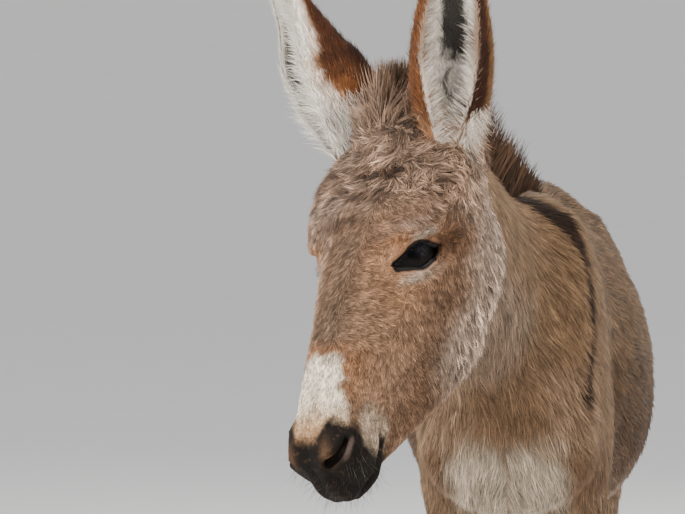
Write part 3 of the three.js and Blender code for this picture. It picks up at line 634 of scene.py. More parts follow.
def lie(p, normal):
    """The way the hair points, along the skin."""
    x, y, _ = p.T
    side = np.sign(x)
    front = smooth(-0.35, -0.8, normal[:, 1])
    d = arrows(0.1 * side, 0.85, -0.5)
    d = mix(d, arrows(0.3 * side, 0, -1), front * smooth(100, 0, y))
    d = mix(d, arrows(0.1 * side, 0.5, -0.85), smooth(140, -20, y) * (1 - front))
    t, v, w = to_neck(p).T
    d = mix(d, arrows(-0.66, -0.6, 0.15 * np.sign(w)) @ NECK_AXES, smooth(60, 200, t) * smooth(300, -100, y))
    d = mix(d, np.array([0, 0.08, -1.0]), leg_weight(p))
    messy, wave = np.ones(len(p)), np.zeros(len(p))
    m = y < -280
    if m.any():
        q = to_head(p[m])
        u, v, w = q.T
        loose = smooth(165, 90, u) * smooth(-110, -60, v)
        u = u + 26 * loose * noise(q, 30, 56)
        w = w + 26 * loose * noise(q, 24, 57)
        line = curve([50, 109, 168, 251, 272, 330], [14, 29, 20, 11, 13, 13], u)
        h = mix(np.tile([1.0, 0, -0.5], (len(q), 1)), np.array([0.12, 0, 1.0]), smooth(-6, 8, w - line))
        h = mix(h, np.array([1.0, 0, 0.0]), smooth(275, 305, u))
        h = mix(h, arrows(0.5, 0, np.clip((w - 14) / 30, -1, 1)), smooth(115, 80, u))
        h = mix(h, arrows(-1, 0, np.clip(w / 60, -1, 1)), smooth(50, 20, u))
        cheek = smooth(-45, -100, v) * (1 - 0.6 * smooth(60, 20, u))
        h = mix(h, np.array([0.65, -0.76, 0]), cheek * smooth(380, 330, u))
        h = mix(h, np.array([1.0, -0.2, 0]), smooth(290, 330, u) * smooth(-80, -40, v))
        # round the eye the hair turns past the lids
        ex, ey, ez = in_eye(np.stack([u, v, w], 1)).T
        past = (arrows(-0.55 - 0.02 * ex, 0.045 * ey, 0) @ EYE_FRAME) * arrows(1, 1, np.sign(w))
        h = mix(h, past, smooth(34, 16, eye_distance(q)) * smooth(-40, -20, ez))
        k = head_weight(p[m])
        d[m] = mix(d[m], h @ HEAD, k)
        messy[m] += k * (2.6 * smooth(165, 90, u) * smooth(-120, -60, v) - 0.25 * smooth(260, 320, u))
        wave[m] = 2.4 * k * smooth(150, 70, u) * smooth(-120, -60, v) * (clumps(p[m], 13, 58)[1] - 0.5)
    wave = wave + (noise(p, 34, 51) * 0.32 + noise(p, 12, 52) * 0.22) * messy
    d = unit(d - normal * (d * normal).sum(1)[:, None])
    return unit(d + np.cross(normal, d) * wave[:, None])


# ---------------- the skin's surface


def skin_detail(q):
    """Folds and openings of the head, as millimetres taken off the flesh."""
    u, v, w = q.T
    s = np.abs(w)
    # the closed mouth: a furrow between full lips, which ends at a corner on each side
    above = v - mouth_line(u)
    cut = 3.6 * bell(above / 3.0) * band(352, 364, 415, 424, u)
    cut -= 1.6 * bell((above - 8) / 5.0) * smooth(356, 376, u)
    cut -= 1.6 * bell((above + 8) / 5.0) * smooth(360, 380, u)
    cut += 3.5 * smooth(-20, -34, w) * smooth(413, 426, u) * smooth(-30, -46, v)
    # the lips are narrower than the nose, and full in the middle
    cut += 6.5 * smooth(396, 420, u) * smooth(-60, -86, v) * smooth(10, 30, s)
    cut += 5.5 * smooth(411, 424, u) * band(-84, -60, -42, -28, v) * smooth(8, 24, s)
    cut -= 3.0 * smooth(418, 432, u) * smooth(26, 8, s) * smooth(-50, -70, v)
    # hollow above the nostril, and the ridge of bone below the eye
    cut += 2.2 * spot(u, v, (352, -46), (20, 14)) * smooth(20, 34, s)
    cut -= 2.5 * bell((v + 84 + 0.25 * (u - 200)) / 9) * band(150, 190, 240, 290, u) * smooth(30, 44, s)
    cut += 2.0 * bell((v + 64 + 0.2 * (u - 230)) / 11) * band(200, 225, 290, 330, u) * smooth(30, 44, s)
    # fine wrinkles under and behind the eye
    e = eye_distance(q)
    return cut + 0.55 * np.sin(e * 1.15) * band(14, 18, 24, 34, e)


def nostril(q):
    """Distance to the comma-shaped opening of each nostril, which is smaller on the right."""
    p = folded(q) - NOSTRIL_POINT
    right = smooth(0, -10, q[:, 2])
    a = np.clip(p @ NOSTRIL_LINE, -15 + 5 * right, 15 - 4 * right)
    inward = np.clip(-(p @ NOSTRIL_OUT), -30, 16 - 9 * right)
    bow = 3.0 * (1 - (a / 15) ** 2)
    near = p - a[:, None] * NOSTRIL_LINE + inward[:, None] * NOSTRIL_OUT
    near = near - bow[:, None] * unit(np.cross(NOSTRIL_LINE, NOSTRIL_OUT))
    return np.linalg.norm(near, axis=1) - (3.9 + 1.7 * a / 15) + 2.6 * right


def skin(p):
    """Zero on the skin, which lies under the coat."""
    d = body(p) + coat_depth(p)
    m = (p[:, 1] < -380) & (d < 30) & (d > -40)
    if m.any():
        q = to_head(p[m])
        e = d[m] + skin_detail(q) * head_weight(p[m])
        # a raised wing round the outer side of each nostril
        hole = nostril(q)
        e = e - (2.4 - 1.9 * smooth(0, -10, q[:, 2])) * bell((hole - 5.0) / 3.4)
        e = -join(-e, hole, 4.5)
        d[m] = np.maximum(e, -eye_pit(q))
    return d


def eye_pit(q):
    """Distance to the room that the lids and the eyeball stand in."""
    x, y, z = in_eye(q).T
    return np.maximum((np.hypot(x / 33, y / 21) - 1) * 21, -(z + 17))


def gradient(f, p, step=0.35):
    d = f(p)
    g = np.stack([(f(p + step * np.eye(3)[i]) - d) / step for i in range(3)], 1)
    return d, g


def graded(start, stop, step):
    out = [start]
    while out[-1] < stop:
        out.append(out[-1] + step(out[-1]))
    return np.array(out)


def split(cells, steps, n):
    """The smaller cells or points inside each cell, as far as a grid of n reaches."""
    step = np.stack(np.meshgrid(*[steps] * 3, indexing="ij"), -1).reshape(-1, 3)
    cells = (cells[:, None] + step).reshape(-1, 3)
    return cells[(cells < n).all(1)]


def fill(f, grid):
    """The shape's distance on a grid, worked out only near its surface."""
    n = np.array([len(g) for g in grid])
    value = np.full(tuple(n), 99.0, np.float32)
    size = 16
    cells = np.stack(np.meshgrid(*[np.arange(0, m, size) for m in n], indexing="ij"), -1).reshape(-1, 3)
    while size > 2:
        top = np.minimum(cells + size, n - 1)
        a, b = (np.stack([grid[i][c[:, i]] for i in range(3)], 1) for c in (cells, top))
        d = f((a + b) / 2)
        reach = np.linalg.norm(b - a, axis=1) * 0.75 + 5
        inside = d < -reach
        for c, t in zip(cells[inside], top[inside]):
            value[c[0] : t[0] + 1, c[1] : t[1] + 1, c[2] : t[2] + 1] = -99
        size //= 2
        cells = split(cells[np.abs(d) <= reach], (0, size), n)
    cells = split(cells, (0, 1, 2), n)
    code = np.unique((cells[:, 0] * n[1] + cells[:, 1]) * n[2] + cells[:, 2])
    i, rest = np.divmod(code, n[1] * n[2])
    j, k = np.divmod(rest, n[2])
    p = np.stack([grid[0][i], grid[1][j], grid[2][k]], 1)
    value[i, j, k] = np.concatenate([f(part) for part in np.array_split(p, max(1, len(p) // 400000))])
    return value


def surface(value, grid):
    """The surface where a grid of distances is zero: points, and faces of four."""
    n = np.array(value.shape)
    inside = value < 0
    corners = [(c & 1, (c >> 1) & 1, c >> 2) for c in range(8)]
    part = lambda a, o: a[o[0] : n[0] - 1 + o[0], o[1] : n[1] - 1 + o[1], o[2] : n[2] - 1 + o[2]]
    count = sum(part(inside, o).astype(np.int8) for o in corners)
    cell = np.argwhere((count > 0) & (count < 8))
    number = np.full(n - 1, -1, np.int32)
    number[tuple(cell.T)] = np.arange(len(cell))
    at = np.stack([value[tuple((cell + np.array(o)).T)] for o in corners], 1)
    total = np.zeros((len(cell), 3))
    hits = np.zeros(len(cell))
    for a in range(8):
        for axis in range(3):
            if corners[a][axis]:
                continue
            b = a | (1 << axis)
            cross = (at[:, a] < 0) != (at[:, b] < 0)
            t = at[:, a] / np.where(cross, at[:, a] - at[:, b], 1)
            point = np.tile(np.array(corners[a], float), (len(cell), 1))
            point[:, axis] = t
            total[cross] += point[cross]
            hits[cross] += 1
    local = total / hits[:, None]
    places = [g[cell[:, i]] + local[:, i] * (g[cell[:, i] + 1] - g[cell[:, i]]) for i, g in enumerate(grid)]
    points = np.stack(places, 1)
    faces = []
    for axis in range(3):
        a, b = (axis + 1) % 3, (axis + 2) % 3
        low, high = [slice(1, -1)] * 3, [slice(1, -1)] * 3
        low[axis], high[axis] = slice(0, -1), slice(1, None)
        edge = np.argwhere(inside[tuple(low)] != inside[tuple(high)])
        start = edge.copy()
        start[:, a] += 1
        start[:, b] += 1
        solid = inside[tuple(start.T)]
        ring = []
        for da, db in ((-1, -1), (0, -1), (0, 0), (-1, 0)):
            c = start.copy()
            c[:, a] += da
            c[:, b] += db
            ring.append(number[tuple(c.T)])
        quad = np.stack(ring, 1)
        quad[~solid] = quad[~solid][:, ::-1]
        faces.append(quad)
    faces = np.concatenate(faces)
    return points, faces[(faces >= 0).all(1)]


def settle(f, p, rounds=2, most=3.0):
    """Moves points onto the surface where f is zero."""
    for _ in range(rounds):
        parts = []
        for part in np.array_split(p, max(1, len(p) // 150000)):
            d, g = gradient(f, part)
            step = d[:, None] * g / np.maximum((g**2).sum(1), 0.05)[:, None]
            size = np.linalg.norm(step, axis=1, keepdims=True)
            parts.append(part - step * np.minimum(1, most / np.maximum(size, 1e-9)))
        p = np.concatenate(parts)
    return p


def sheet_faces(rows, columns, closed=False):
    """Faces of four on rows of points, with each row's ends joined where the sheet is closed."""
    row = np.arange(rows - 1)[:, None] * columns
    first = np.arange(columns if closed else columns - 1)[None]
    i, j = (row + first).ravel(), (row + (first + 1) % columns).ravel()
    return np.stack([i, j, j + columns, i + columns], 1)


def point_normals(p, faces):
    n = np.zeros_like(p)
    a, b = p[faces[:, 2]] - p[faces[:, 0]], p[faces[:, 3]] - p[faces[:, 1]]
    f = np.cross(a, b)
    for i in range(4):
        np.add.at(n, faces[:, i], f)
    return unit(n)


def new_piece(name, points, faces, smooth_faces=True):
    """A mesh object from points in metres and faces, all with the same number of corners or as lists."""
    mesh = bpy.data.meshes.new(name)
    if isinstance(faces, np.ndarray):
        mesh.vertices.add(len(points))
        mesh.vertices.foreach_set("co", np.ascontiguousarray(points, np.float32).ravel())
        k = faces.shape[1]
        mesh.loops.add(faces.size)
        mesh.loops.foreach_set("vertex_index", np.ascontiguousarray(faces, np.int32).ravel())
        mesh.polygons.add(len(faces))
        mesh.polygons.foreach_set("loop_start", np.arange(len(faces), dtype=np.int32) * k)
        mesh.update(calc_edges=True)
    else:
        mesh.from_pydata([tuple(p) for p in points], [], faces)
        mesh.update()
    mesh.polygons.foreach_set("use_smooth", np.full(len(mesh.polygons), smooth_faces))
    piece = bpy.data.objects.new(name, mesh)
    bpy.context.scene.collection.objects.link(piece)
    return piece


def paint_points(piece, colours):
    """Stores one colour for each point, which the coat's material reads."""
    layer = piece.data.color_attributes.new("tint", "FLOAT_COLOR", "POINT")
    rgba = np.ones((len(colours), 4), np.float32)
    rgba[:, :3] = colours
    layer.data.foreach_set("color", rgba.ravel())


# ---------------- ears and lids

EAR_LENGTH = 240.0
EAR_FILL = {"ear_left": 0.66, "ear_right": 1.25}  # how much the hair fills each ear
EARS = {
    "ear_left": ([12, -52, 61], [0.02, -0.13, 0.98], [-0.06, -0.99, -0.16]),
    "ear_right": ([-14, -34, -82], [-0.42, 0.16, 0.87], [-0.9, -0.44, 0]),
}
EAR_WIDTH = ([-30, 0, 10, 25, 46, 66, 88, 130, 151, 180, 208, 230, 240],
             [46, 56, 62, 75, 88, 94, 96, 88, 80, 64, 43, 22, 7])
EAR_DEPTH = ([-30, 0, 45, 75, 105, 125, 147, 190, 240], [28, 34, 40, 40, 33, 26, 19, 12, 4])
EAR_BULGE = {  # how far the inner side of each ear stands out, along it
    "ear_left": ([0, 240], [0, 0]),
    "ear_right": ([-20, 0, 20, 40, 60, 80, 100, 130, 170, 240], [3, 7, 14, 19, 20, 17, 8, 3, 0, 0]),
}
EAR_CURL = ([-30, 10, 70, 130, 170, 210, 240], [155, 150, 141, 136, 130, 112, 95])
EAR_WHITE = (  # where the white hair of the right ear begins, from 0 at its middle to 1 at its rim
    [-20, 0, 5, 20, 40, 60, 130, 160, 210],
    [0.3, 0.42, 0.5, 0.63, 0.67, 0.75, 0.75, 0.7, 0.6],
)


def ear_axes(name):
    base, axis, open_side = EARS[name]
    up = unit(axis)
    front = np.array(open_side, float)
    front = unit(front - up * (front @ up))
    return from_head([base])[0], up, np.cross(front, up), front


def ear_bulge(name, t, a):
    """How far the inner side of an ear stands out towards the other ear."""
    return curve(*EAR_BULGE[name], t) * smooth(-0.95, -0.5, a) * smooth(1.0, -0.1, a)


def ear_point(name, t, a, depth, fill=0.0):
    """A point of an ear: t along it, a from -1 to 1 round its roll, depth below its back."""
    foot, up, across, front = ear_axes(name)
    deep = curve(*EAR_DEPTH, t)
    half = np.maximum(curve(*EAR_WIDTH, t) / 2 - depth, 0.6)
    turn = np.radians(curve(*EAR_CURL, t)) * a
    hollow = (deep - depth) * (1 - fill * np.maximum(np.cos(turn), 0))
    bow = 6 * smooth(60, EAR_LENGTH, t)
    rim = smooth(0.8, 1.0, np.abs(a))
    out = -hollow * np.cos(turn) + bow + deep * 0.4
    side = half * np.sin(turn)
    # a slightly uneven rim
    side = side + np.sign(a) * rim * 0.8 * np.sin(t / 17.0 + 2 * a)
    p = foot + t[..., None] * up + side[..., None] * across + out[..., None] * front
    p[..., 0] += ear_bulge(name, t, a)
    return p


def ear_shell(name, rows=72, columns=44):
    """The ear's two sheets, back and hollow, joined round the rim."""
    t = np.linspace(-26, EAR_LENGTH - 3.5, rows)
    a = np.linspace(-1, 1, columns)
    tt, aa = np.meshgrid(t, a, indexing="ij")
    thick = 3.4 - 1.6 * smooth(60, 240, tt)
    round_rim = np.sqrt(np.clip(1 - ((np.abs(aa) - 0.94) / 0.06).clip(0, 1) ** 2, 0, 1))
    ridges = 1.1 * smooth(150, 60, tt) * (bell((np.abs(aa) - 0.42) / 0.07) + bell(aa / 0.07))
    back = ear_point(name, tt, aa, 1.9 + thick / 2 - thick / 2 * round_rim)
    deep = 1.9 + thick / 2 + (thick / 2 + ridges) * round_rim
    hollow = ear_point(name, tt, aa, deep, fill=EAR_FILL[name] * round_rim)
    points = np.concatenate([back.reshape(-1, 3), hollow.reshape(-1, 3)])
    n = rows * columns
    sheet = sheet_faces(rows, columns)
    faces = [sheet, sheet[:, ::-1] + n]
    rim = (  # first point, number of faces, step to the next point, and which way they turn
        (0, rows - 1, columns, 1), (columns - 1, rows - 1, columns, -1),
        (0, columns - 1, 1, -1), ((rows - 1) * columns, columns - 1, 1, 1),
    )
    for first, count, step, turn in rim:
        k = first + np.arange(count) * step
        faces.append(np.stack([k, k + step, k + step + n, k + n], 1)[:, ::turn])
    faces = np.concatenate(faces)
    # the faces turn outward
    first, second, _, last = points[sheet[(rows // 2) * (columns - 1) + columns // 2]]
    if np.cross(second - first, last - first) @ ear_axes(name)[3] > 0:
        faces = faces[:, ::-1]
    return points, faces


# The opening between the lids: half its length, and how far the lids stand above and below it.
LID_HALF = 31.0
UPPER_LID = ([0, 0.17, 0.3, 0.43, 0.6, 0.79, 1], [6.5, 6.5, 8.0, 11.0, 11.5, 6.6, 1.0])
LOWER_LID = ([0, 0.12, 0.34, 0.59, 0.81, 1], [9.0, 9.2, 11.2, 16.6, 17.0, 12])
BALL = np.array([38.0, 29.0, 22.0])  # half-sizes of the eyeball
BALL_FRONT = 4.0  # how far it stands in front of the middle of the opening
INNER_CORNER = np.array([25.5, -1.0])  # of the eye
LID_RISE = (  # how far the lids' rim stands above the eyeball, outwards from the opening
    [-3, -0.9, 0, 0.9, 2.0, 3.2, 4.6, 6.2, 30],
    [-0.9, 0.0, 1.1, 2.3, 2.9, 3.1, 3.3, 3.6, 3.6],
)


def lid_edge(angle):
    """The rim of the opening, in the eye's own frame: x towards the inner corner, y upwards."""
    a = (1 - np.cos(angle)) / 2
    over = np.sin(angle) >= 0
    height = np.where(over, curve(*UPPER_LID, a), curve(*LOWER_LID, a))
    long = LID_HALF - 2.8 * smooth(0.2, 1.0, np.cos(angle))
    fall = 7 * smooth(0.45, 1.0, -np.cos(angle))
    return np.stack([long * np.cos(angle), height * np.sin(angle) - fall], -1)


def ball_height(x, y):
    r = 1 - (x / BALL[0]) ** 2 - (y / BALL[1]) ** 2
    return BALL_FRONT - BALL[2] + BALL[2] * np.sqrt(np.maximum(r, 0.02))


def eye_to_build(local, side):
    """Points of the eye's frame, on the donkey's left (1) or right (-1)."""
    return from_head((np.asarray(local, float) @ EYE_FRAME + EYE_POINT) * np.array([1, 1, side]))


def eye_axes(side):
    """The eye's own axes in the build's frame, on the donkey's left (1) or right (-1)."""
    return (EYE_FRAME * np.array([1, 1, side])) @ HEAD


# ---------------- tufts


def face_areas(points, faces):
    a, b, c, d = (points[faces[:, i]] for i in range(4))
    return 0.5 * np.linalg.norm(np.cross(c - a, d - b), axis=1)


def scatter(points, normals, faces, density, rng):
    """Roots at random over faces of four, density of them to a square millimetre, and their normals."""
    wanted = face_areas(points, faces) * density(sum(points[faces[:, i]] for i in range(4)) / 4)
    count = np.floor(wanted + rng.random(len(faces))).astype(int)
    pick = np.repeat(np.arange(len(faces)), count)
    u, v = rng.random((2, len(pick), 1))
    weights = [(1 - u) * (1 - v), u * (1 - v), u * v, (1 - u) * v]
    root = sum(w * points[faces[pick, i]] for i, w in enumerate(weights))
    normal = sum(w * normals[faces[pick, i]] for i, w in enumerate(weights))
    return root, unit(normal)


def tuft_mesh(
    root, normal, along, length, width, lift, bend=0.0, rings=2, sink=1.0, drop=0.75, wisp=0.0, shade=None
):
    """Tapered locks with three sides: points, triangles, soft normals, and how far along each point is."""
    n = len(root)
    shade = normal if shade is None else shade
    along = unit(along - normal * (along * normal).sum(1)[:, None])
    across = np.cross(normal, along)
    length, width, lift, bend = (np.broadcast_to(x, n)[:, None] for x in (length, width, lift, bend))

    def middle(t):
        rise = lift * t - lift * drop * t * t
        curl = length * (bend * t * t + wisp * math.sin(5.5 * t))
        return root - normal * sink + length * (along * t + normal * rise) + across * curl

    points, soft, place = [], [], []
    for r in range(rings):
        t = r / rings * (1.0 if rings > 2 else 1.05)
        w = width * (1 - t**2.2) * (0.75 + 0.5 * t if rings > 2 else 1)
        for side, rise in ((-0.5, 0.0), (0.5, 0.0), (0.0, 0.55)):
            points.append(middle(t) + across * w * side + normal * w * rise)
            soft.append(unit(shade * (1 + rise) + across * side * 1.5))
            place.append(np.full(n, t))
    points.append(middle(1.0))
    soft.append(unit(shade + along * 0.4))
    place.append(np.ones(n))
    k = len(points)
    faces = [(0, 2, 1)]
    for r in range(rings - 1):
        for i, j in ((0, 1), (1, 2), (2, 0)):
            a, b = 3 * r + i, 3 * r + j
            faces += [(a, b, b + 3), (a, b + 3, a + 3)]
    last = 3 * (rings - 1)
    faces += [(last + i, last + j, k - 1) for i, j in ((0, 1), (1, 2), (2, 0))]
    points = np.stack(points, 1).reshape(-1, 3)
    faces = (np.arange(n)[:, None, None] * k + np.array(faces)[None]).reshape(-1, 3)
    return points, faces, np.stack(soft, 1).reshape(-1, 3), np.stack(place, 1).reshape(-1)


def patch(spot, k, rings):
    """Where each point of each tuft lies on the unwrap: a patch about 0.003 across at its root's place."""
    angle = np.arange(k) % 3 * 2 * np.pi / 3
    radius = 0.0016 * (1 - np.arange(k) // 3 / rings * 0.9)
    radius[-1] = 0
    step = np.stack([np.cos(angle) * radius, np.sin(angle) * radius], 1)
    return (spot[:, None] + step[None]).reshape(-1, 2)


def coat_piece(name, parts, body="root", root_shade=0.45):
    """One mesh of tufts. Each part is (tuft mesh, colours at the roots, places on the unwrap, rings)."""
    rows, start = [], 0
    for (p, f, s, place), colour, spot, rings in parts:
        k = 3 * rings + 1
        # painted shade deep in the coat, partly the hair's own darker roots: each tuft darker at its root and
        # lighter at its tip
        shade = root_shade + (1.38 - 0.45 * root_shade - root_shade) * smooth(0, 0.6, place)
        tint = np.repeat(colour, k, axis=0) * shade[:, None]
        rows.append((p, f + start, s, tint, patch(spot, k, rings)))
        start += len(p)
    points, faces, soft, tint, uv = (np.concatenate(x) for x in zip(*rows))
    piece = new_piece(name, to_scene(points), faces)
    paint_points(piece, tint)
    layer = piece.data.uv_layers.new(name="OFBake")
    layer.data.foreach_set("uv", np.ascontiguousarray(uv[faces.ravel()], np.float32).ravel())
    piece.data.normals_split_custom_set_from_vertices(soft)
    piece.data.materials.append(bpy.data.materials["coat of hair"])
    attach(piece, body)
    return piece


def unwrap(p, at, axes, length, centre=(0.5, 0.5), size=(0.96, 0.96)):
    """A cylindrical unwrap about an axis: along it, and round it."""
    q = (p - at) @ np.asarray(axes).T
    u = np.clip(q[:, 0] / length, 0, 1) - 0.5
    v = np.arctan2(q[:, 2], q[:, 1]) / (2 * np.pi)
    return np.stack([centre[0] + u * size[0], centre[1] + v * size[1]], 1)


def shades(p, rng, spread=0.2, size=5.0):
    """Light and dark locks: one brightness for each root."""
    mark = clumps(p, size, 61)[1]
    broad = noise(p, 3.2 * size, 62)
    return np.exp(spread * (rng.standard_normal(len(p)) + 1.5 * (mark * 2 - 1) + 0.8 * broad) - 0.02)


# ---------------- pieces

STORE = {}  # the skin's points, normals and faces, which the coat is rooted in
MOST_TUFTS = 45000  # in one piece of the coat
DOWN_BACK = np.array([[0, 0, -1], [0, 1, 0], [1, 0, 0]])  # axes of an unwrap that runs down
BODY_COATS = {  # thickness, lift and clump of the tufts, then the start, axes and length of the unwrap
    "leg": (1.5, 0.3, 4, [0, 0, 530], [[0, 0, -1], [1, 0, 0], [0, 1, 0]], 500),
    "tail": (1.3, 0.3, 6, [0, 780, 900], DOWN_BACK, 400),
    "neck": (1.0, 0.36, 6.5, NECK_BASE - 120 * NECK_AXES[0] - 60 * NECK_AXES[1], NECK_AXES, 720),
    "trunk": (1.6, 0.34, 8, [0, -80, 780], [[0, 1, 0], [0, 0, 1], [1, 0, 0]], 850),
}


def skin_grid(fine):
    x = graded(-205, 205, lambda x: fine if x < -118 else (3.2 if x < 62 else 9.0))
    y = graded(-850, 850, lambda y: fine if y < -735 else min(9.0, 3.2 + 0.05 * max(y + 470, 0)))
    z = graded(30, 1190, lambda z: 9.0 if not 672 <= z < 1110 else (fine if z < 800 else 3.2))
    return [x, y, z]


def make_skin(fine):
    grid = skin_grid(fine)
    points, faces = surface(fill(skin, grid), grid)
    points = settle(skin, points)
    STORE["skin"] = points, point_normals(points, faces), faces
    all_points, all_faces = [points], [faces]
    start = len(points)
    for name in EARS:
        p, f = ear_shell(name)
        STORE[name] = p, point_normals(p, f), f
        all_points.append(p)
        all_faces.append(f + start)
        start += len(p)
    piece = new_piece("skin", to_scene(np.concatenate(all_points)), np.concatenate(all_faces))
    tint = np.concatenate([coat_colour(points)] + [ear_colour(name, STORE[name][0]) for name in EARS])
    paint_points(piece, tint)
    piece.data.materials.append(bpy.data.materials["skin under the coat"])
    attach(piece, "root")
    whole, limbs = ("head", "neck", "trunk", "tail"), ("foreleg", "hindleg", "ear_")
    flesh = [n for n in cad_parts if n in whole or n.startswith(limbs)]
    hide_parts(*flesh)


def ear_place(name, p):
    """For points of an ear: t along it, a round its roll, and l across it."""
    foot, up, across, front = ear_axes(name)
    bulge = np.zeros(len(p))
    for _ in range(4):
        d = p - foot - bulge[:, None] * np.array([1.0, 0, 0])
        t = d @ up
        deep = curve(*EAR_DEPTH, t)
        half = np.maximum(curve(*EAR_WIDTH, t) / 2, 1)
        out = d @ front - 6 * smooth(60, EAR_LENGTH, t) - deep * 0.4
        turn = np.arctan2((d @ across) / half, -out / deep)
        a = np.degrees(turn) / curve(*EAR_CURL, t)
        bulge = 0.5 * bulge + 0.5 * ear_bulge(name, t, a)
    return t, a, (d @ across) / half


def ear_colour(name, p, inner=None):
    """Colour of an ear, where inner is 1 in its hollow and 0 on its back: by halves where it isn't given."""
    t, a, l = ear_place(name, p)
    rough, fine = noise(p, 14, 71), noise(p, 4.5, 74)
    s = np.abs(a)
    if inner is None:
        inner = (np.arange(len(p)) >= len(p) // 2).astype(float)
    # the back: dark rust, nearly black at the tip
    if name == "ear_left":
        own = [
            ("rust", 0.55, 0.6 * smooth(0.3, 0.6, a)),
            ("brown", np.array([1.0, 0.95, 0.75]), 0.9 * smooth(0.0, -0.3, a)),
            # painted shade: a dark line along the back beside one rim, the shadow between rim and back
            ("ear_rim", 0.8, smooth(-0.74, -0.84, a + 0.03 * rough)),
        ]
    else:
        own = [("rust", 1.1, 0.7 * smooth(0.45, 0.62, s) * smooth(75, 25, t + 12 * rough))]
    c = painted(np.tile(PAINT["ear_back"], (len(p), 1)) * (1 + 0.2 * rough)[:, None], [
        ("ear_rim", 1, 0.75 * smooth(0.62, 0.35, s + 0.15 * rough) * smooth(10, 60, t)),
        *own,
        ("tan", 1, 0.6 * smooth(38, 6, t)),
        ("ear_rim", 1, 0.85 * smooth(185, 225, t + 8 * rough)),
        ("ear_inside", 1, inner * smooth(1.0, 0.95, s + 0.02 * rough) * (0.93 + 0.07 * rough)),
    ])
    # the hollow, full of white hair
    if name == "ear_left":
        border = curve([0, 40, 80, 130, 170, 240], [0.9, 0.74, 0.66, 0.7, 0.72, 0.9], t)
        strip = inner * smooth(-0.02, 0.06, np.where(a > 0, l, -1) - border + 0.05 * fine)
        streaks = smooth(0.1, 0.5, noise(p * np.array([1.0, 1.0, 0.45]), 5, 75)) * smooth(60, 90, t)
        mark = smooth(0.40, 0.26, np.abs(l + 0.02) + 0.1 * fine) * smooth(228, 190, t)
        mark = mark * smooth(80, 98, t + 8 * fine)
        line = curve([0, 17, 31, 50, 60, 76], [0.35, 0.15, -0.08, 0.15, 0.2, 0.08], t)
        # painted shade: a thin dark line in the crease that runs down to the notch
        crease = smooth(0.09, 0.035, np.abs(l - line)) * band(-2, 6, 74, 84, t)
        own = [
            ("rust", 0.45, strip),
            ("rim", 2, 0.8 * strip * streaks),
            ("rust", 1, 0.5 * inner * smooth(0.2, 0.08, np.abs(l - 0.12)) * smooth(34, 22, t)),
            # the dark mark is the ear's own dark skin; the crease line is painted shade
            ("rim", 1.6, inner * np.maximum(0.95 * mark, 0.75 * crease)),
        ]
    else:
        c = c * (1 - 0.45 * (a < 0.2) * smooth(40, 75, t + 12 * rough))[:, None]
        edge = curve(*EAR_WHITE, t) + 0.1 * (a < 0) * band(5, 30, 70, 110, t)
        white = smooth(-0.04, 0.04, s - edge + 0.03 * rough + 0.03 * fine)
        own = [
            ("ear_inside", 0.96, white * smooth(228, 205, t)),
            ("tan", 1, 0.45 * (1 - inner) * smooth(0.1, 0.03, np.abs(s - edge - 0.03)) * (a < 0)),
        ]
    return painted(c, [
        *own,
        ("tan", 1, 0.4 * inner * smooth(34, 12, t) * smooth(0.5, 0.2, s)),
        ("ear_rim", 1, 0.7 * inner * smooth(218, 238, t)),
    ])


def make_eyes():
    rows, columns = 40, 64
    lat = np.linspace(0, np.pi, rows)[:, None]
    lon = np.linspace(0, 2 * np.pi, columns, endpoint=False)[None]
    wide = np.sin(lat)
    ball = np.stack([wide * np.cos(lon), wide * np.sin(lon), np.cos(lat) + 0 * lon], -1).reshape(-1, 3)
    local = ball * BALL
    local[:, 2] += BALL_FRONT - BALL[2]
    # the clear front stands a little proud
    r = np.hypot(local[:, 0] / 21, local[:, 1] / 18)
    local[:, 2] += np.where(ball[:, 2] > 0, 1.3 * smooth(1.05, 0.3, r), 0)
    for side, word in ((1, "left"), (-1, "right")):
        faces = sheet_faces(rows, columns, closed=True)
        points = eye_to_build(local, side)
        if point_normals(points, faces)[len(local) // 8] @ eye_axes(side)[2] < 0:
            faces = faces[:, ::-1]
        piece = new_piece("eyeball_" + word, to_scene(points), faces)
        clean(piece)
        co = np.empty(len(piece.data.vertices) * 3, np.float32)
        piece.data.vertices.foreach_get("co", co)
        place = in_eye(to_head(to_build(co.reshape(-1, 3)))) / 10
        layer = piece.data.attributes.new("spot", "FLOAT_VECTOR", "POINT")
        layer.data.foreach_set("vector", place.astype(np.float32).ravel())
        piece.data.materials.append(bpy.data.materials["wet eye"])
        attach(piece, "root")
        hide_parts("eye_" + word)


def clean(piece):
    """Merges the points that lie on each other at the poles."""
    mesh = bmesh.new()
    mesh.from_mesh(piece.data)
    bmesh.ops.remove_doubles(mesh, verts=mesh.verts, dist=1e-6)
    bmesh.ops.dissolve_degenerate(mesh, edges=mesh.edges, dist=1e-7)
    mesh.to_mesh(piece.data)
    mesh.free()


def closed_skin(p):
    """The skin as it would run if it had no eyes."""
    d = body(p) + coat_depth(p)
    q = to_head(p)
    return d + skin_detail(q) * head_weight(p)


def skin_height(x, y, side):
    """How far the skin stands in front of the middle of the opening, at places in the eye's frame."""
    z = np.full(len(x), 6.0)
    for _ in range(7):
        d = closed_skin(eye_to_build(np.stack([x, y, z], 1), side))
        z = z - np.clip(d, -6, 6) * 0.9
    return z


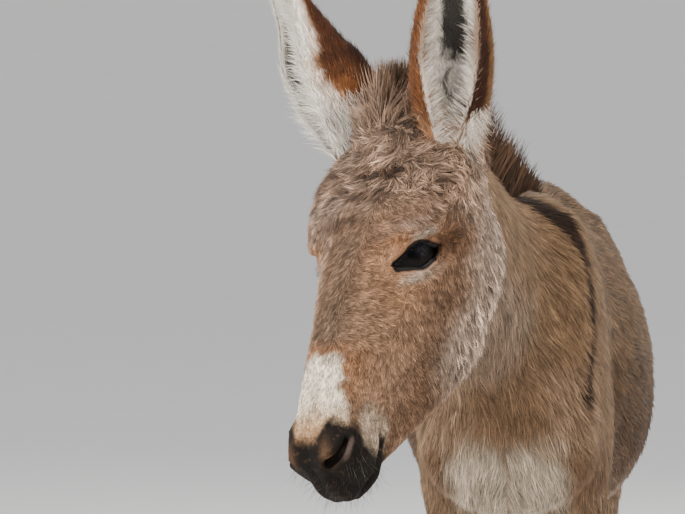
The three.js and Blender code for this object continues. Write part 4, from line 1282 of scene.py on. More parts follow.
def make_lids():
    """A thick rim round each eye: from the eyeball over the lid's edge, over the crease and into the skin."""
    stations = [-3.0, -0.9, 0.0, 0.9, 2.0, 3.2, 4.6, 6.2, 8.0, 9.6, 11.0, 12.4, 14.0, 16.5, 20.0, 23.0]
    around = 112
    angle = np.linspace(0, 2 * np.pi, around, endpoint=False)
    edge = lid_edge(angle)
    tangent = unit(np.roll(edge, -1, 0) - np.roll(edge, 1, 0))
    outward = np.stack([tangent[:, 1], -tangent[:, 0]], 1)
    spread = unit(np.stack([np.cos(angle) * 0.9, np.sin(angle)], 1))
    outward = unit(outward * 0.75 + spread * 0.6)
    upper = smooth(-0.15, 0.35, np.sin(angle))
    off = np.repeat(stations, around)
    for side, name in ((1, "lids_left"), (-1, "lids_right")):
        rings = []
        for out in stations:
            x, y = (edge + outward * out).T
            rim = ball_height(*(edge + outward * min(out, 0)).T) + np.interp(out, *LID_RISE)
            rim = rim + upper * np.interp(out, [0, 3, 8, 12], [0.3, 1.6, 2.6, 2.0])
            w = smooth(3.5, 15.5, out)
            fold = 1.9 * bell((out - 10.6) / 1.3) * upper * smooth(-0.2, 0.3, np.sin(angle))
            fold_low = 0.9 * (bell(out - 7.5) + 0.8 * bell((out - 11.5) / 1.1)) * (1 - upper)
            z = rim * (1 - w) + (skin_height(x, y, side) + 0.25) * w - fold - fold_low
            rings.append(np.stack([x, y, z - 0.8 * max(out - 19, 0)], 1))
        local = np.concatenate(rings)
        faces = sheet_faces(len(stations), around, closed=True)
        p = eye_to_build(local, side)
        if (point_normals(p, faces) @ eye_axes(side)[2]).mean() < 0:
            faces = faces[:, ::-1]
        piece = new_piece(name, to_scene(p), faces)
        rim = np.tile((3.2 + 0.6 * upper) * (1 + 0.35 * smooth(0.75, 0.97, np.cos(angle))), len(stations))
        outer = np.tile(upper * smooth(0.5, -0.3, np.cos(angle)), len(stations))
        paint_points(piece, painted(coat_colour(p), (
            ("rim", 1, smooth(rim + 0.9, rim - 0.9, off + 0.7 * noise(p, 5, 81))),
            ("rim", 1.5, smooth(7.5, 6, np.hypot(*(local[:, :2] - INNER_CORNER).T))),
            ("wing", 0.5, 0.8 * outer * band(0.0, 0.6, 2.2, 3.0, off)),
        )))
        STORE[name] = p, point_normals(p, faces), faces, off
        wet = piece.data.attributes.new("wet", "FLOAT", "POINT")
        wet.data.foreach_set("value", smooth(1.8, 0.4, off).astype(np.float32))
        piece.data.materials.append(bpy.data.materials["eyelid"])
        thick = piece.modifiers.new("thickness", "SOLIDIFY")
        thick.thickness = 0.0012
        thick.offset = -1
        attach(piece, "root")


HOOF_FORE = [  # height, back, front, half-width and middle
    [-1, 0, -94, 38, -42], [0, 1, -89, 37, -40], [40, 3, -72, 33.5, -34], [90, 3, -50, 29, -26],
]
HOOF_HIND = [
    [-1, 690, 602, 35, 646], [0, 690, 603, 34.5, 648], [40, 690, 616, 32, 652], [90, 689, 632, 28, 660],
]


def make_hooves():
    rings, around = 26, 72
    a = np.linspace(0, 2 * np.pi, around, endpoint=False)[None]
    f = np.linspace(0, 1, rings)[:, None] * np.ones_like(a)
    for leg, (_, side, _, foot, hip, step) in LEGS.items():
        rows, heel = (HOOF_FORE, -25) if hip == 700 else (HOOF_HIND, 652)
        rows = np.array(rows, float)
        y = np.full(f.shape, heel, float)
        for _ in range(6):
            z = f * (60.0 - 0.3 * (y - heel))
            high, low, half, level = (np.interp(z, rows[:, 0], rows[:, i]) for i in (1, 2, 3, 4))
            y = level + np.where(np.sin(a) > 0, high - level, level - low) * np.sin(a)
        x = half * np.sign(np.cos(a)) * np.abs(np.cos(a)) ** 0.95
        # the rings of growth, a worn lower edge and a narrower top
        grow = 0.35 * np.sin(z / 2.6 + 0.8 * np.sin(2 * a)) + 0.25 * np.sin(z / 1.1 + a) * smooth(10, 30, z)
        scale = 1 + (grow - 1.6 * smooth(4, 0, z) - 1.2 * smooth(0.9, 1.0, f)) / half
        x, y = x * scale, level + (y - level) * scale
        points = np.stack([x + side * foot, y + step, z + 0.4], -1).reshape(-1, 3)
        faces = [tuple(q) for q in sheet_faces(rings, around, closed=True)]
        n = len(points)
        middle = points[:around].mean(0)
        inner = points[:around] * 0.8 + middle * 0.2 + np.array([0, 0, 2.5])
        top = points[-around:].mean(0)
        points = np.concatenate([points, inner, [middle + [0, 0, 6]], [top + [0, 0, -4]]])
        for k in range(around):
            m = (k + 1) % around
            faces.append((m, k, n + k, n + m))
            faces.append((n + m, n + k, n + around))
            faces.append(((rings - 1) * around + k, (rings - 1) * around + m, n + around + 1))
        piece = new_piece("hoof_" + leg.replace("leg", ""), to_scene(points), faces)
        piece.data.materials.append(bpy.data.materials["horn of the hoof"])
        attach(piece, "root")
        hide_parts(leg.replace("leg", "hoof"))


MANE_TOP = (  # how high the mane's locks reach, along the neck
    [-60, -10, 60, 180, 300, 420, 520, 590, 640, 668],
    [206, 212, 208, 192, 178, 168, 158, 142, 118, 90],
)
MANE_BEND = float((POLL - NECK_BASE) @ NECK_AXES[2])


def mane_point(t, v, w):
    side = w + MANE_BEND * smooth(400, 640, t)
    return NECK_BASE + np.stack([t, v, side], -1) @ NECK_AXES


def make_mane(count):
    rng = np.random.default_rng(41)
    t = rng.uniform(-55, 650, count)
    w = rng.normal(0, 1, count).clip(-1.6, 1.6) * 7.5
    top = curve(*MANE_TOP, t) + 2 - 0.012 * w * w
    v = top.copy()
    for _ in range(8):
        v = v - np.maximum(body(mane_point(t, v, w)) + 7, 0) * 0.95
    root = mane_point(t, v, w)
    length = (top - v) * rng.uniform(0.75, 1.06, count)
    middle, mark = clumps(root, 13, 43)
    lean = 0.22 + (mark - 0.5) * 0.34 + 0.12 * noise(root, 40, 45)
    sway = 0.02 * w + 0.5 * (lattice(np.floor(middle).astype(np.int64), 44) - 0.5)
    up = unit(arrows(lean, 1, sway) @ NECK_AXES + 0.09 * rng.standard_normal((count, 3)))
    normal = unit(np.cross(up, np.cross(arrows(0.3, 0, np.sign(w)) @ NECK_AXES, up)))
    wide, bend = rng.uniform(1.2, 2.4, count), rng.normal(0, 0.11, count)
    mesh = tuft_mesh(root, normal, up, length, wide, 0.12, bend=bend, rings=3, sink=0, wisp=0.014)
    c = painted(np.tile(PAINT["dark"], (count, 1)), (
        ("brown", 1, 0.3 * smooth(0.55, 0.9, mark)),
        ("brown", 1, 0.35 * smooth(8, 14, np.abs(w)) * (0.5 + 0.5 * mark)),
        ("taupe", 1.15, 0.9 * smooth(500, 580, t) * (0.5 + 0.5 * mark)),
    ))
    c = c * shades(root, rng, 0.25)[:, None]
    start = mane_point(np.array([-60.0]), np.array([60.0]), np.array([0.0]))[0]
    piece = coat_piece("mane_locks", [(mesh, c, unwrap(root, start, NECK_AXES, 740), 3)])
    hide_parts("mane")


def make_switch(count):
    rng = np.random.default_rng(47)
    z = 740 - 330 * rng.random(count) ** 1.4
    angle = rng.uniform(0, 2 * np.pi, count)
    middle = np.interp(z, [330, 380, 470, 560, 640, 740], [795, 796, 797, 796, 792, 788])
    r = np.interp(z, [330, 400, 560, 740], [4, 8, 11, 13]) * np.sqrt(rng.random(count))
    out = arrows(np.cos(angle), np.sin(angle), 0)
    root = r[:, None] * out + arrows(0, middle, z)
    reach = np.interp(z, [330, 470, 560, 740], [6, 15, 16, 6])
    length = np.minimum(rng.uniform(90, 190, count), z - 322 - 75 * rng.random(count) ** 2)
    length = np.maximum(length, 14)
    down = np.array([0, 0, -1.0]) + out * (reach / np.maximum(length, 60))[:, None]
    down = unit(down + 0.03 * rng.standard_normal((count, 3)))
    normal = unit(out - down * (out * down).sum(1)[:, None])
    wide, bend = rng.uniform(2.4, 4.8, count), rng.normal(0, 0.04, count)
    mesh = tuft_mesh(root, normal, down, length, wide, 0.1, bend=bend, rings=6, sink=0, wisp=0.01)
    c = mix(np.tile(PAINT["dark"], (count, 1)), PAINT["brown"], rng.random(count) * 0.6)
    c = c * shades(root, rng, 0.2)[:, None]
    places = unwrap(root, np.array([0, 795.0, 760]), DOWN_BACK, 440)
    piece = coat_piece("tail_locks", [(mesh, c, places, 6)])
    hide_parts("tail_switch")


def rooted(density, seed):
    if "skin" not in STORE:
        raise RuntimeError("The skin comes first: the hair is rooted in it.")
    points, normals, faces = STORE["skin"]
    rng = np.random.default_rng(seed)
    root, normal = scatter(points, normals, faces, density, rng)
    return root, normal, rng


def tufted(root, normal, rng, thick, lift, clump, gather, rings, spread, long):
    """Tufts over the skin, with the locks of a clump drawn towards its middle, and their colours."""
    n = len(root)
    length = coat_length(root) * rng.uniform(0.7, 1.2, n) * long
    along = lie(root, normal)
    tip = root + along * length[:, None]
    middle, mark = clumps(tip, clump * (0.6 + 0.05 * length.mean()), 23)
    pull = middle - tip
    pull = pull - normal * (pull * normal).sum(1)[:, None]
    loose = 0.1 * length[:, None] * rng.standard_normal((n, 3))
    along = unit(along * length[:, None] + gather * pull + loose)
    width = thick * (0.7 + 0.03 * length) * rng.uniform(0.7, 1.3, n)
    rise = lift * rng.uniform(0.3, 1.4, n) + 0.5 * lift * (mark - 0.5)
    if rings == 1:
        mesh = tuft_mesh(root, normal, along, length, width, rise * 0.5, rings=1, sink=0.3, drop=0.0)
    else:
        bend = rng.normal(0, 0.12, n)
        mesh = tuft_mesh(root, normal, along, length, width, rise, bend=bend, rings=rings, sink=0.4)
    light = shades(root, rng, spread, clump) * np.exp(0.9 * spread * (mark - 0.5))
    return mesh, coat_colour(root + along * (0.4 * length)[:, None]) * light[:, None]


def make_head_coat(count, long_by, wide_by):
    def density(p):
        q = to_head(p)
        u, v, _ = q.T
        x, y, z = in_eye(q).T
        inside = (np.hypot(x / 33, y / 20) < 1) & (z > -25)
        long = 1 - 0.45 * smooth(130, 60, u)
        shown = 0.45 + 0.55 * smooth(-0.2, 0.15, (p @ np.array([0.1, -0.99, 0.05]) + 560) / 200)
        d = (head_weight(p) > 0.5) * ~inside * long * shown * smooth(432, 418, u)
        return d * (0.45 + 0.55 * smooth(-190, -150, v)) * (1 + 0.5 * smooth(280, 330, u))

    points, _, faces = STORE["skin"]
    share = count / (face_areas(points, faces) * density(points[faces].mean(1))).sum()
    root, normal, rng = rooted(lambda p: density(p) * share, 3)
    bare = nostril(to_head(root)) > 1.0
    root, normal = root[bare], normal[bare]
    q = to_head(root)
    order = np.argsort(np.arctan2(q[:, 2], q[:, 1] + 90))
    for i, pick in enumerate(np.array_split(order, max(1, math.ceil(len(root) / MOST_TUFTS)))):
        r, nm = root[pick], normal[pick]
        u, v, w = to_head(r).T
        crown = (u < 26 + 8 * noise(r, 16, 59)) & (np.abs(w) < 58) & (v > -70)
        long = (coat_length(r) > 11) & ~crown
        kinds = (  # which roots; thickness, lift, clump, gather, rings, spread and length
            (~(long | crown), 1.05, 0.45, 4.0, 0.5, 1, 0.36, 1.0),
            (long, 1.0, 0.65, 9.0, 0.95, 1, 0.5, 1.15),
            (crown, 1.05, 0.75, 12.0, 0.8, 1, 0.3, 1.5),
        )
        parts = []
        for mask, thick, lift, clump, gather, rings, spread, more in kinds:
            way = (thick * wide_by, lift, clump, gather, rings, spread, long_by * more)
            mesh, c = tufted(r[mask], nm[mask], rng, *way)
            parts.append((mesh, c, unwrap(r[mask], from_head([-40, -90, 0]), HEAD, 480), rings))
        coat_piece(f"head_coat_{i + 1}", parts, root_shade=0.3)


def leg_spots(p, axes, length):
    """Places on the unwrap for the four legs, each in its own strip."""
    spots = np.zeros((len(p), 2))
    for k, (_, side, _, foot, hip, step) in enumerate(LEGS.values()):
        mine = (np.sign(p[:, 0]) == side) & ((p[:, 1] < 300) == (hip == 700))
        middle = np.array([side * foot, (-10 if hip == 700 else 670) + step, 530])
        strip = dict(centre=(0.5, 0.125 + 0.25 * k), size=(0.96, 0.23))
        spots[mine] = unwrap(p[mine], middle, axes, length, **strip)
    return spots


def make_body_coat(thicker, long_by, wide_by):
    def density(p):
        neck = smooth(330, 150, p[:, 1]) * smooth(700, 760, p[:, 2])
        chest = smooth(60, -60, p[:, 1])
        leg = leg_weight(p)
        share = (0.044 + 0.097 * np.maximum(neck, chest)) * (1 - leg) + leg * 0.050
        return thicker * (head_weight(p) <= 0.5) * share

    root, normal, rng = rooted(density, 5)
    x, y, z = root.T
    leg = z < 520
    tail = (y > 700) & (z < 870) & (np.abs(x) < 34) & ~leg
    neck = (y < -60) & ~leg
    masks = {"leg": leg, "tail": tail, "neck": neck & ~tail, "trunk": ~(leg | tail | neck)}
    for name, (thick, lift, clump, at, axes, length) in BODY_COATS.items():
        r, n = root[masks[name]], normal[masks[name]]
        at, axes = np.array(at, float), np.array(axes)
        order = np.argsort(r[:, 0] if name == "neck" else ((r - at) @ axes.T)[:, 0])
        for i, pick in enumerate(np.array_split(order, max(1, math.ceil(len(r) / MOST_TUFTS)))):
            mesh, c = tufted(r[pick], n[pick], rng, thick * wide_by, lift, clump, 0.6, 1, 0.24, 1.2 * long_by)
            spots = leg_spots(r[pick], axes, length) if name == "leg" else unwrap(r[pick], at, axes, length)
            coat_piece(f"{name}_coat_{i + 1}", [(mesh, c, spots, 1)], root_shade=0.62)


def ear_spots(start, width, a, t):
    """Places on an ear's unwrap: a strip from start, with a across it and t along it."""
    return np.stack([start + width * (np.clip(a, -1, 1) + 1) / 2, 0.02 + 0.96 * (t + 30) / 280], 1)


def ear_sheet_hair(name, inner, rng):
    """The hair on one sheet of an ear: short on the back, long and turned to the rim in the hollow."""
    points, normals, faces = STORE[name]
    up, across, front = ear_axes(name)[1:]
    half = len(points) // 2
    mine = faces[(faces >= half).all(1) if inner else (faces < half).all(1)]
    root, normal = scatter(points, normals, mine, lambda p: np.full(len(p), 0.26 if inner else 0.2), rng)
    t, a, _ = ear_place(name, root)
    keep = t > -22
    root, normal, t, a = root[keep], normal[keep], t[keep], a[keep]
    s = np.abs(a)
    if inner:
        fluff = 1.4 if name == "ear_right" else 1.0
        length = (8 + 13 * smooth(0.45, 0.85, s) * smooth(225, 150, t)) * fluff + 9 * smooth(80, 10, t)
        over = front * 0.25 - across * np.sign(a)[:, None]
        along = up * 0.9 + over * (0.9 * smooth(0.4, 0.9, s))[:, None]
        along = along + front * (0.5 * smooth(80, 10, t))[:, None]
        facing = unit(0.3 * normal + front)
        lift, sink, loose, spread = 0.4, 0.1, 0.3, 0.13
    else:
        length = 8 + 7 * smooth(70, 10, t)
        along = up + across * (0.15 * a)[:, None]
        facing = normal
        lift, sink, loose, spread = rng.choice([0.3, 0.3, 0.75], len(root)), 0.3, 0.15, 0.3
    length = length * (1 - 0.45 * smooth(190, 235, t)) * rng.uniform(0.5, 1.25, len(root))
    along = unit(along + loose * rng.standard_normal(root.shape))
    wide = rng.uniform(0.7, 1.25, len(root))
    mesh = tuft_mesh(root, normal, along, length, wide, lift, rings=1, sink=sink, drop=0, shade=facing)
    c = ear_colour(name, root, np.full(len(root), float(inner))) * shades(root, rng, spread, 4)[:, None]
    return mesh, c, ear_spots(0.5 * inner + 0.01, 0.46, a, t), 1


def ear_fringe(name, count, rng):
    """Fine hairs along the rim of an ear."""
    up, across, front = ear_axes(name)[1:]
    t = -10 + 244 * rng.random(count) ** 1.15
    a = np.where(rng.random(count) < 0.5, -1, 1) * rng.uniform(0.96, 1.0, count)
    root = ear_point(name, t, a, 3.0)
    turn = np.radians(curve(*EAR_CURL, t)) * a
    out = unit(across * np.sin(turn)[:, None] - front * np.cos(turn)[:, None])
    edge = unit(across * (np.cos(turn) * np.sign(a))[:, None] + front * np.sin(np.abs(turn))[:, None])
    along = up * 0.9 + edge * rng.uniform(-0.5, 0.9, count)[:, None]
    along = along + out * rng.uniform(-0.5, 0.3, count)[:, None]
    along = unit(along + 0.2 * rng.standard_normal(root.shape))
    length = rng.uniform(3, 12, count) * (1 + 0.7 * smooth(95, 15, t)) * (1 - 0.4 * smooth(200, 235, t))
    wide = rng.uniform(0.5, 0.95, count)
    mesh = tuft_mesh(root, unit(out + front * 0.5), along, length, wide, 0.0, rings=1, sink=0, drop=0)
    pale = (1.0 if name == "ear_right" else 0.25 + 0.75 * smooth(110, 40, t)) * rng.random(count) ** 0.4
    c = mix(np.tile(PAINT["tan"] * 0.75, (count, 1)), PAINT["ear_inside"], pale)
    return mesh, c, ear_spots(0.49, 0.02, a, t), 1


def ear_foot_tufts(name, count, rng):
    """Long white hair at the foot of the opening, longer on the outer side."""
    up, across, front = ear_axes(name)[1:]
    t = rng.uniform(-12, 48, count)
    a = -1 + 1.9 * rng.random(count) ** 1.3
    outer = smooth(0.3, -0.4, a)
    root = ear_point(name, t, a * 0.93, 6.0, fill=EAR_FILL[name])
    drop = front * 0.55 - across * (np.sign(a) * 0.25 + 0.15)[:, None] - up * (0.2 + 0.6 * outer)[:, None]
    drop = unit(drop + 0.22 * rng.standard_normal(root.shape))
    length = rng.uniform(9, 17, count) * (1 + 0.7 * outer)
    pull = clumps(root + drop * length[:, None], 10, 73)[0] - root
    drop = unit(drop + 0.35 * unit(pull))
    facing = np.tile(unit(front + 0.2 * up), (count, 1))
    wide, bend = rng.uniform(0.5, 0.95, count), rng.normal(0, 0.3, count)
    mesh = tuft_mesh(root, facing, drop, length, wide, 0.35, bend=bend, rings=2, sink=0, drop=1.0)
    c = mix(np.tile(PAINT["ear_inside"], (count, 1)), PAINT["tan"], 0.5 * rng.random(count) ** 2)
    return mesh, c * shades(root, rng, 0.12)[:, None], ear_spots(0.51, 0.46, a, t), 2


def make_ear_coat():
    rng = np.random.default_rng(9)
    for name in EARS:
        parts = [ear_sheet_hair(name, inner, rng) for inner in (0, 1)]
        parts.append(ear_fringe(name, 5000, rng))
        parts.append(ear_foot_tufts(name, 4200, rng))
        coat_piece(name + "_coat", parts, root_shade=0.78)


def make_lid_coat():
    """Very short hair on the lids, and the upper lashes."""
    rng = np.random.default_rng(29)
    for side, word in ((1, "left"), (-1, "right")):
        points, normals, faces, off = STORE["lids_" + word]
        hair = faces[off[faces].mean(1) > 4.6]
        root, normal = scatter(points, normals, hair, lambda p: np.full(len(p), 0.95), rng)
        local = in_eye(to_head(root))
        keep = np.hypot(*(local[:, :2] - INNER_CORNER).T) > 6.5
        root, normal, local = root[keep], normal[keep], local[keep]
        x, y = local[:, 0], local[:, 1]
        length = 2.4 + 4.6 * smooth(1.1, 1.6, np.hypot(x / LID_HALF, y / 17))
        length = length * rng.uniform(0.7, 1.25, len(root))
        inward, over, out = eye_axes(side)
        along = inward * (-0.75 + 0.012 * x)[:, None] + over * (0.045 * y)[:, None]
        along = along - normal * (along * normal).sum(1)[:, None]
        along = unit(along + 0.2 * rng.standard_normal(root.shape))
        wide = rng.uniform(0.6, 1.0, len(root))
        mesh = tuft_mesh(root, normal, along, length, wide, 0.16, rings=1, sink=0.25, drop=0)
        c = coat_colour(root) * shades(root, rng, 0.4, 3)[:, None]
        parts = [(mesh, c, 0.5 + local[:, :2] / 130, 1)]
        count = 110
        angle = rng.uniform(0.35, 2.75, count)
        edge = lid_edge(angle)
        root = eye_to_build(np.column_stack([edge * 1.03, ball_height(*edge.T) + 2.8]), side)
        lash = out * 0.85 + over * rng.uniform(-0.25, 0.55, count)[:, None]
        lash = lash - inward * (0.25 - 0.35 * np.cos(angle))[:, None]
        lash = unit(lash + 0.12 * rng.standard_normal((count, 3)))
        length, bend = rng.uniform(6, 12, count), rng.normal(0, 0.12, count)
        normal = np.tile(over, (count, 1))
        mesh = tuft_mesh(root, normal, lash, length, 0.42, 0.12, bend=bend, rings=2, sink=0, drop=1.6)
        parts.append((mesh, np.tile(PAINT["rim"], (count, 1)), 0.5 + edge / 130, 2))
        coat_piece("lid_coat_" + word, parts, root_shade=0.6)


def make_whiskers(longest):
    """Long sparse hairs on the lips, chin and nose."""
    def density(p):
        u, v, _ = to_head(p).T
        return 0.02 * (head_weight(p) > 0.9) * smooth(372, 400, u) * smooth(-20, -60, v)

    root, normal, rng = rooted(density, 31)
    keep = nostril(to_head(root)) > 6
    root, normal = root[keep], normal[keep]
    n = len(root)
    along = unit(normal + HEAD[0] * 0.7 + 0.25 * rng.standard_normal((n, 3)))
    across = unit(np.cross(along, HEAD[1] + 0.01))
    length, bend = rng.uniform(0.4, 1.0, n) * longest, rng.normal(0, 0.25, n)
    mesh = tuft_mesh(root, across, along, length, 0.34, 0.0, bend=bend, rings=3, sink=0)
    c = mix(np.tile(PAINT["rim"], (n, 1)), PAINT["cream"], rng.random(n) ** 2 * 0.8)
    places = unwrap(root, from_head([-40, -90, 0]), HEAD, 480)
    coat_piece("whiskers", [(mesh, c, places, 3)])


# ---------------- materials


def feed(tree, n, **sockets):
    """Sets a node's inputs, by name or as i and a number, to values or to other nodes' outputs."""
    for key, value in sockets.items():
        socket = n.inputs[int(key[1:]) if key[1:].isdigit() else key.replace("_", " ")]
        if isinstance(value, bpy.types.NodeSocket):
            tree.links.new(value, socket)
        else:
            socket.default_value = value


def node(tree, kind, settings=None, **sockets):
    n = tree.nodes.new("ShaderNode" + kind)
    for key, value in (settings or {}).items():
        setattr(n, key, value)
    feed(tree, n, **sockets)
    return n


def worked(tree, kind, operation, **sockets):
    """The result of a Math or VectorMath node."""
    n = node(tree, kind, {"operation": operation}, **sockets)
    return n.outputs["Value"] if operation in ("LENGTH", "DISTANCE") else n.outputs[0]


def bumpy(tree, shader, height, strength, distance):
    b = node(tree, "Bump", Height=height, Strength=strength, Distance=distance)
    feed(tree, shader, Normal=b.outputs["Normal"])


def ramp(tree, factor, *stops):
    """Colours along a ramp: each stop is a place and a colour, the first and the last at its ends."""
    n = node(tree, "ValToRGB", Fac=factor)
    ends = n.color_ramp.elements
    for end, (at, colour) in zip((ends[0], ends[1]), (stops[0], stops[-1])):
        end.position, end.color = at, (*colour, 1)
    for at, colour in stops[1:-1]:
        ends.new(at).color = (*colour, 1)
    return n.outputs["Color"]


def hair_grain_group():
    """Fine streaks and patches: a colour made lighter and darker, and a height."""
    g = bpy.data.node_groups.new("hair grain", "ShaderNodeTree")
    for label, kind, usual in (
        ("Color", "Color", (0.5, 0.5, 0.5, 1)), ("Fineness", "Float", 900.0), ("Amount", "Float", 0.25)
    ):
        s = g.interface.new_socket(name=label, in_out="INPUT", socket_type="NodeSocket" + kind)
        s.default_value = usual
    for label, kind in (("Color", "Color"), ("Height", "Float")):
        g.interface.new_socket(name=label, in_out="OUTPUT", socket_type="NodeSocket" + kind)
    i, o = g.nodes.new("NodeGroupInput"), g.nodes.new("NodeGroupOutput")
    at = node(g, "TexCoord").outputs["Object"]
    fine = node(g, "TexNoise", Vector=at, Scale=i.outputs["Fineness"], Detail=3.0).outputs["Fac"]
    broad = node(g, "TexNoise", Vector=at, Scale=38.0, Detail=4.0).outputs["Fac"]
    centred = worked(g, "Math", "SUBTRACT", i0=worked(g, "Math", "ADD", i0=fine, i1=broad), i1=1.0)
    amount = worked(g, "Math", "MULTIPLY", i0=centred, i1=i.outputs["Amount"])
    factor = worked(g, "Math", "ADD", i0=amount, i1=1.0)
    feed(g, o, Color=worked(g, "VectorMath", "SCALE", i0=i.outputs["Color"], Scale=factor), Height=fine)


def fresh(name):
    m = bpy.data.materials.new(name)
    m.use_nodes = True
    return m.node_tree, m.node_tree.nodes["Principled BSDF"]


def grained(name, fineness, amount, bump, deep, **finish):
    """A material that takes its points' own tint, with the grain of fine hair over it."""
    tree, shader = fresh(name)
    tint = node(tree, "Attribute", {"attribute_name": "tint"})
    grain = tree.nodes.new("ShaderNodeGroup")
    grain.node_tree = bpy.data.node_groups["hair grain"]
    feed(tree, grain, Color=tint.outputs["Color"], Fineness=fineness, Amount=amount)
    feed(tree, shader, Base_Color=grain.outputs["Color"], **finish)
    if bump:
        bumpy(tree, shader, grain.outputs["Height"], bump, deep)
    return tree, shader


def make_coat():
    sheen = {"Specular_IOR_Level": 0.15, "Sheen_Roughness": 0.5}
    grained("coat of hair", 700.0, 0.5, 0.0, 0.0, Roughness=0.65, Sheen_Weight=0.04, **sheen)
    grained("skin under the coat", 420.0, 0.9, 0.6, 0.0012, Roughness=0.8, Sheen_Weight=0.0, **sheen)


def make_eyelid():
    tree, shader = grained("eyelid", 500.0, 0.6, 0.5, 0.0008, Specular_IOR_Level=0.18)
    wet = node(tree, "Attribute", {"attribute_name": "wet"})
    rough = node(tree, "MapRange", Value=wet.outputs["Fac"], To_Min=0.75, To_Max=0.4)
    feed(tree, shader, Roughness=rough.outputs[0])


def make_wet_eye():
    """A long dark pupil in a hardly lighter iris, with a painted bluish reflection of fine streaks on its
    outer half.
    """
    tree, shader = fresh("wet eye")
    spot = node(tree, "Attribute", {"attribute_name": "spot"}).outputs["Vector"]
    parts = node(tree, "SeparateXYZ", Vector=spot).outputs
    wide = worked(tree, "Math", "MULTIPLY", i0=parts[0], i1=1 / 2.05)
    tall = node(tree, "MapRange", {"clamp": False}, Value=parts[1], From_Min=0.35, From_Max=2.1, To_Max=1.0)
    flat = node(tree, "CombineXYZ", X=wide, Y=tall.outputs[0])
    # painted sheen: the middle of the pupil is a little lighter and bluish
    iris = ramp(
        tree, worked(tree, "VectorMath", "LENGTH", i0=flat.outputs[0]),
        (0.0, (0.0016, 0.0018, 0.0024)), (0.42, (0.0005, 0.0005, 0.0007)), (0.56, (0.0044, 0.0030, 0.0024)),
        (0.88, (0.0030, 0.0020, 0.0016)), (0.95, (0.0003, 0.0003, 0.0003)), (1.0, (0.0006, 0.0005, 0.0005)),
    )
    fibres = node(tree, "TexNoise", Vector=spot, Scale=9.0, Detail=6.0)
    tone = node(tree, "MapRange", Value=fibres.outputs["Fac"], To_Min=0.5, To_Max=1.5)
    scaled = worked(tree, "VectorMath", "SCALE", i0=iris, Scale=tone.outputs[0])
    # painted reflection: a bluish patch of fine streaks on the outer half of the eyeball
    front = node(tree, "CombineXYZ", X=parts[0], Y=parts[1]).outputs[0]
    far = worked(tree, "VectorMath", "DISTANCE", i0=front, i1=(-0.85, 0.25, 0.0))
    soft = {"interpolation_type": "SMOOTHSTEP"}
    painted_reflection_patch = node(tree, "MapRange", soft, Value=far, From_Min=1.15, From_Max=0.2)
    drawn = node(tree, "Mapping", Vector=front, Scale=(5.0, 1.1, 1.0), Rotation=(0.0, 0.0, 0.5))
    hairs = node(tree, "TexNoise", Vector=drawn.outputs[0], Scale=1.7, Detail=2.0).outputs["Fac"]
    streaks = node(tree, "MapRange", Value=hairs, From_Min=0.5, From_Max=0.68, To_Min=0.25, To_Max=1.6)
    amount = worked(tree, "Math", "MULTIPLY", i0=painted_reflection_patch.outputs[0], i1=streaks.outputs[0])
    painted_reflection = worked(tree, "VectorMath", "SCALE", i0=(0.026, 0.026, 0.032), Scale=amount)
    feed(
        tree, shader, Base_Color=worked(tree, "VectorMath", "ADD", i0=scaled, i1=painted_reflection), Roughness=0.3,
        Specular_IOR_Level=0.02, Coat_Weight=0.2, Coat_Roughness=0.1, Coat_IOR=1.4,
    )


def make_horn():
    tree, shader = fresh("horn of the hoof")
    at = node(tree, "TexCoord").outputs["Object"]
    stretched = node(tree, "Mapping", Vector=at, Scale=(1.0, 1.0, 9.0)).outputs[0]
    rings = node(tree, "TexNoise", Vector=stretched, Scale=42.0, Detail=5.0).outputs["Fac"]
    colour = ramp(tree, rings, (0.3, (0.045, 0.036, 0.028)), (0.72, (0.17, 0.135, 0.1)))
    feed(tree, shader, Base_Color=colour, Roughness=0.55)
    bumpy(tree, shader, rings, 0.6, 0.0015)


def make_pale_floor(stage):
    tree, shader = fresh("pale floor")
    at = node(tree, "TexCoord").outputs["Object"]
    clouds = node(tree, "TexNoise", Vector=at, Scale=6.0, Detail=8.0).outputs["Fac"]
    tone = np.array(stage.floor_colour)
    colour = ramp(tree, clouds, (0.0, tone * 0.98), (1.0, (tone * 1.02).clip(0, 1)))
    feed(tree, shader, Base_Color=colour, Roughness=0.8)


def make_materials(stage):
    hair_grain_group()
    make_coat()
    make_eyelid()
    make_wet_eye()
    make_horn()
    make_pale_floor(stage)


# ---------------- stage


def make_floor(edge):
    """A level floor that curves up into a wall all round."""
    around = 96
    bend = [(edge + 7.0 * math.sin(a), 7.0 - 7.0 * math.cos(a)) for a in np.linspace(0.12, math.pi / 2, 12)]
    level = [(0.3 * edge, 0.0), (0.65 * edge, 0.0), (edge, 0.0)]
    profile = [*level, *bend, (edge + 7.0, 10.0), (edge + 7.0, 16.0)]
    a = np.linspace(0, 2 * np.pi, around, endpoint=False)
    rings = [np.stack([r * np.cos(a), r * np.sin(a), np.full(around, h)], 1) for r, h in profile]
    points = np.concatenate([*rings, [[0, 0, 0]]])
    faces = [(k, (k + 1) % around, len(points) - 1) for k in range(around)]
    for r in range(len(profile) - 1):
        for k in range(around):
            m = (k + 1) % around
            faces.append((r * around + k, (r + 1) * around + k, (r + 1) * around + m, r * around + m))
    floor = new_piece("floor", points, faces)
    floor.data.materials.append(bpy.data.materials["pale floor"])


def lamp(name, place, target, size, power, colour):
    data = bpy.data.lights.new(name, "AREA")
    data.shape = "DISK"
    data.size = size
    data.energy = power
    data.color = colour
    o = bpy.data.objects.new(name, data)
    bpy.context.scene.collection.objects.link(o)
    o.location = place
    o.rotation_mode = "QUATERNION"
    o.rotation_quaternion = (Vector(target) - Vector(place)).to_track_quat("-Z", "Y")


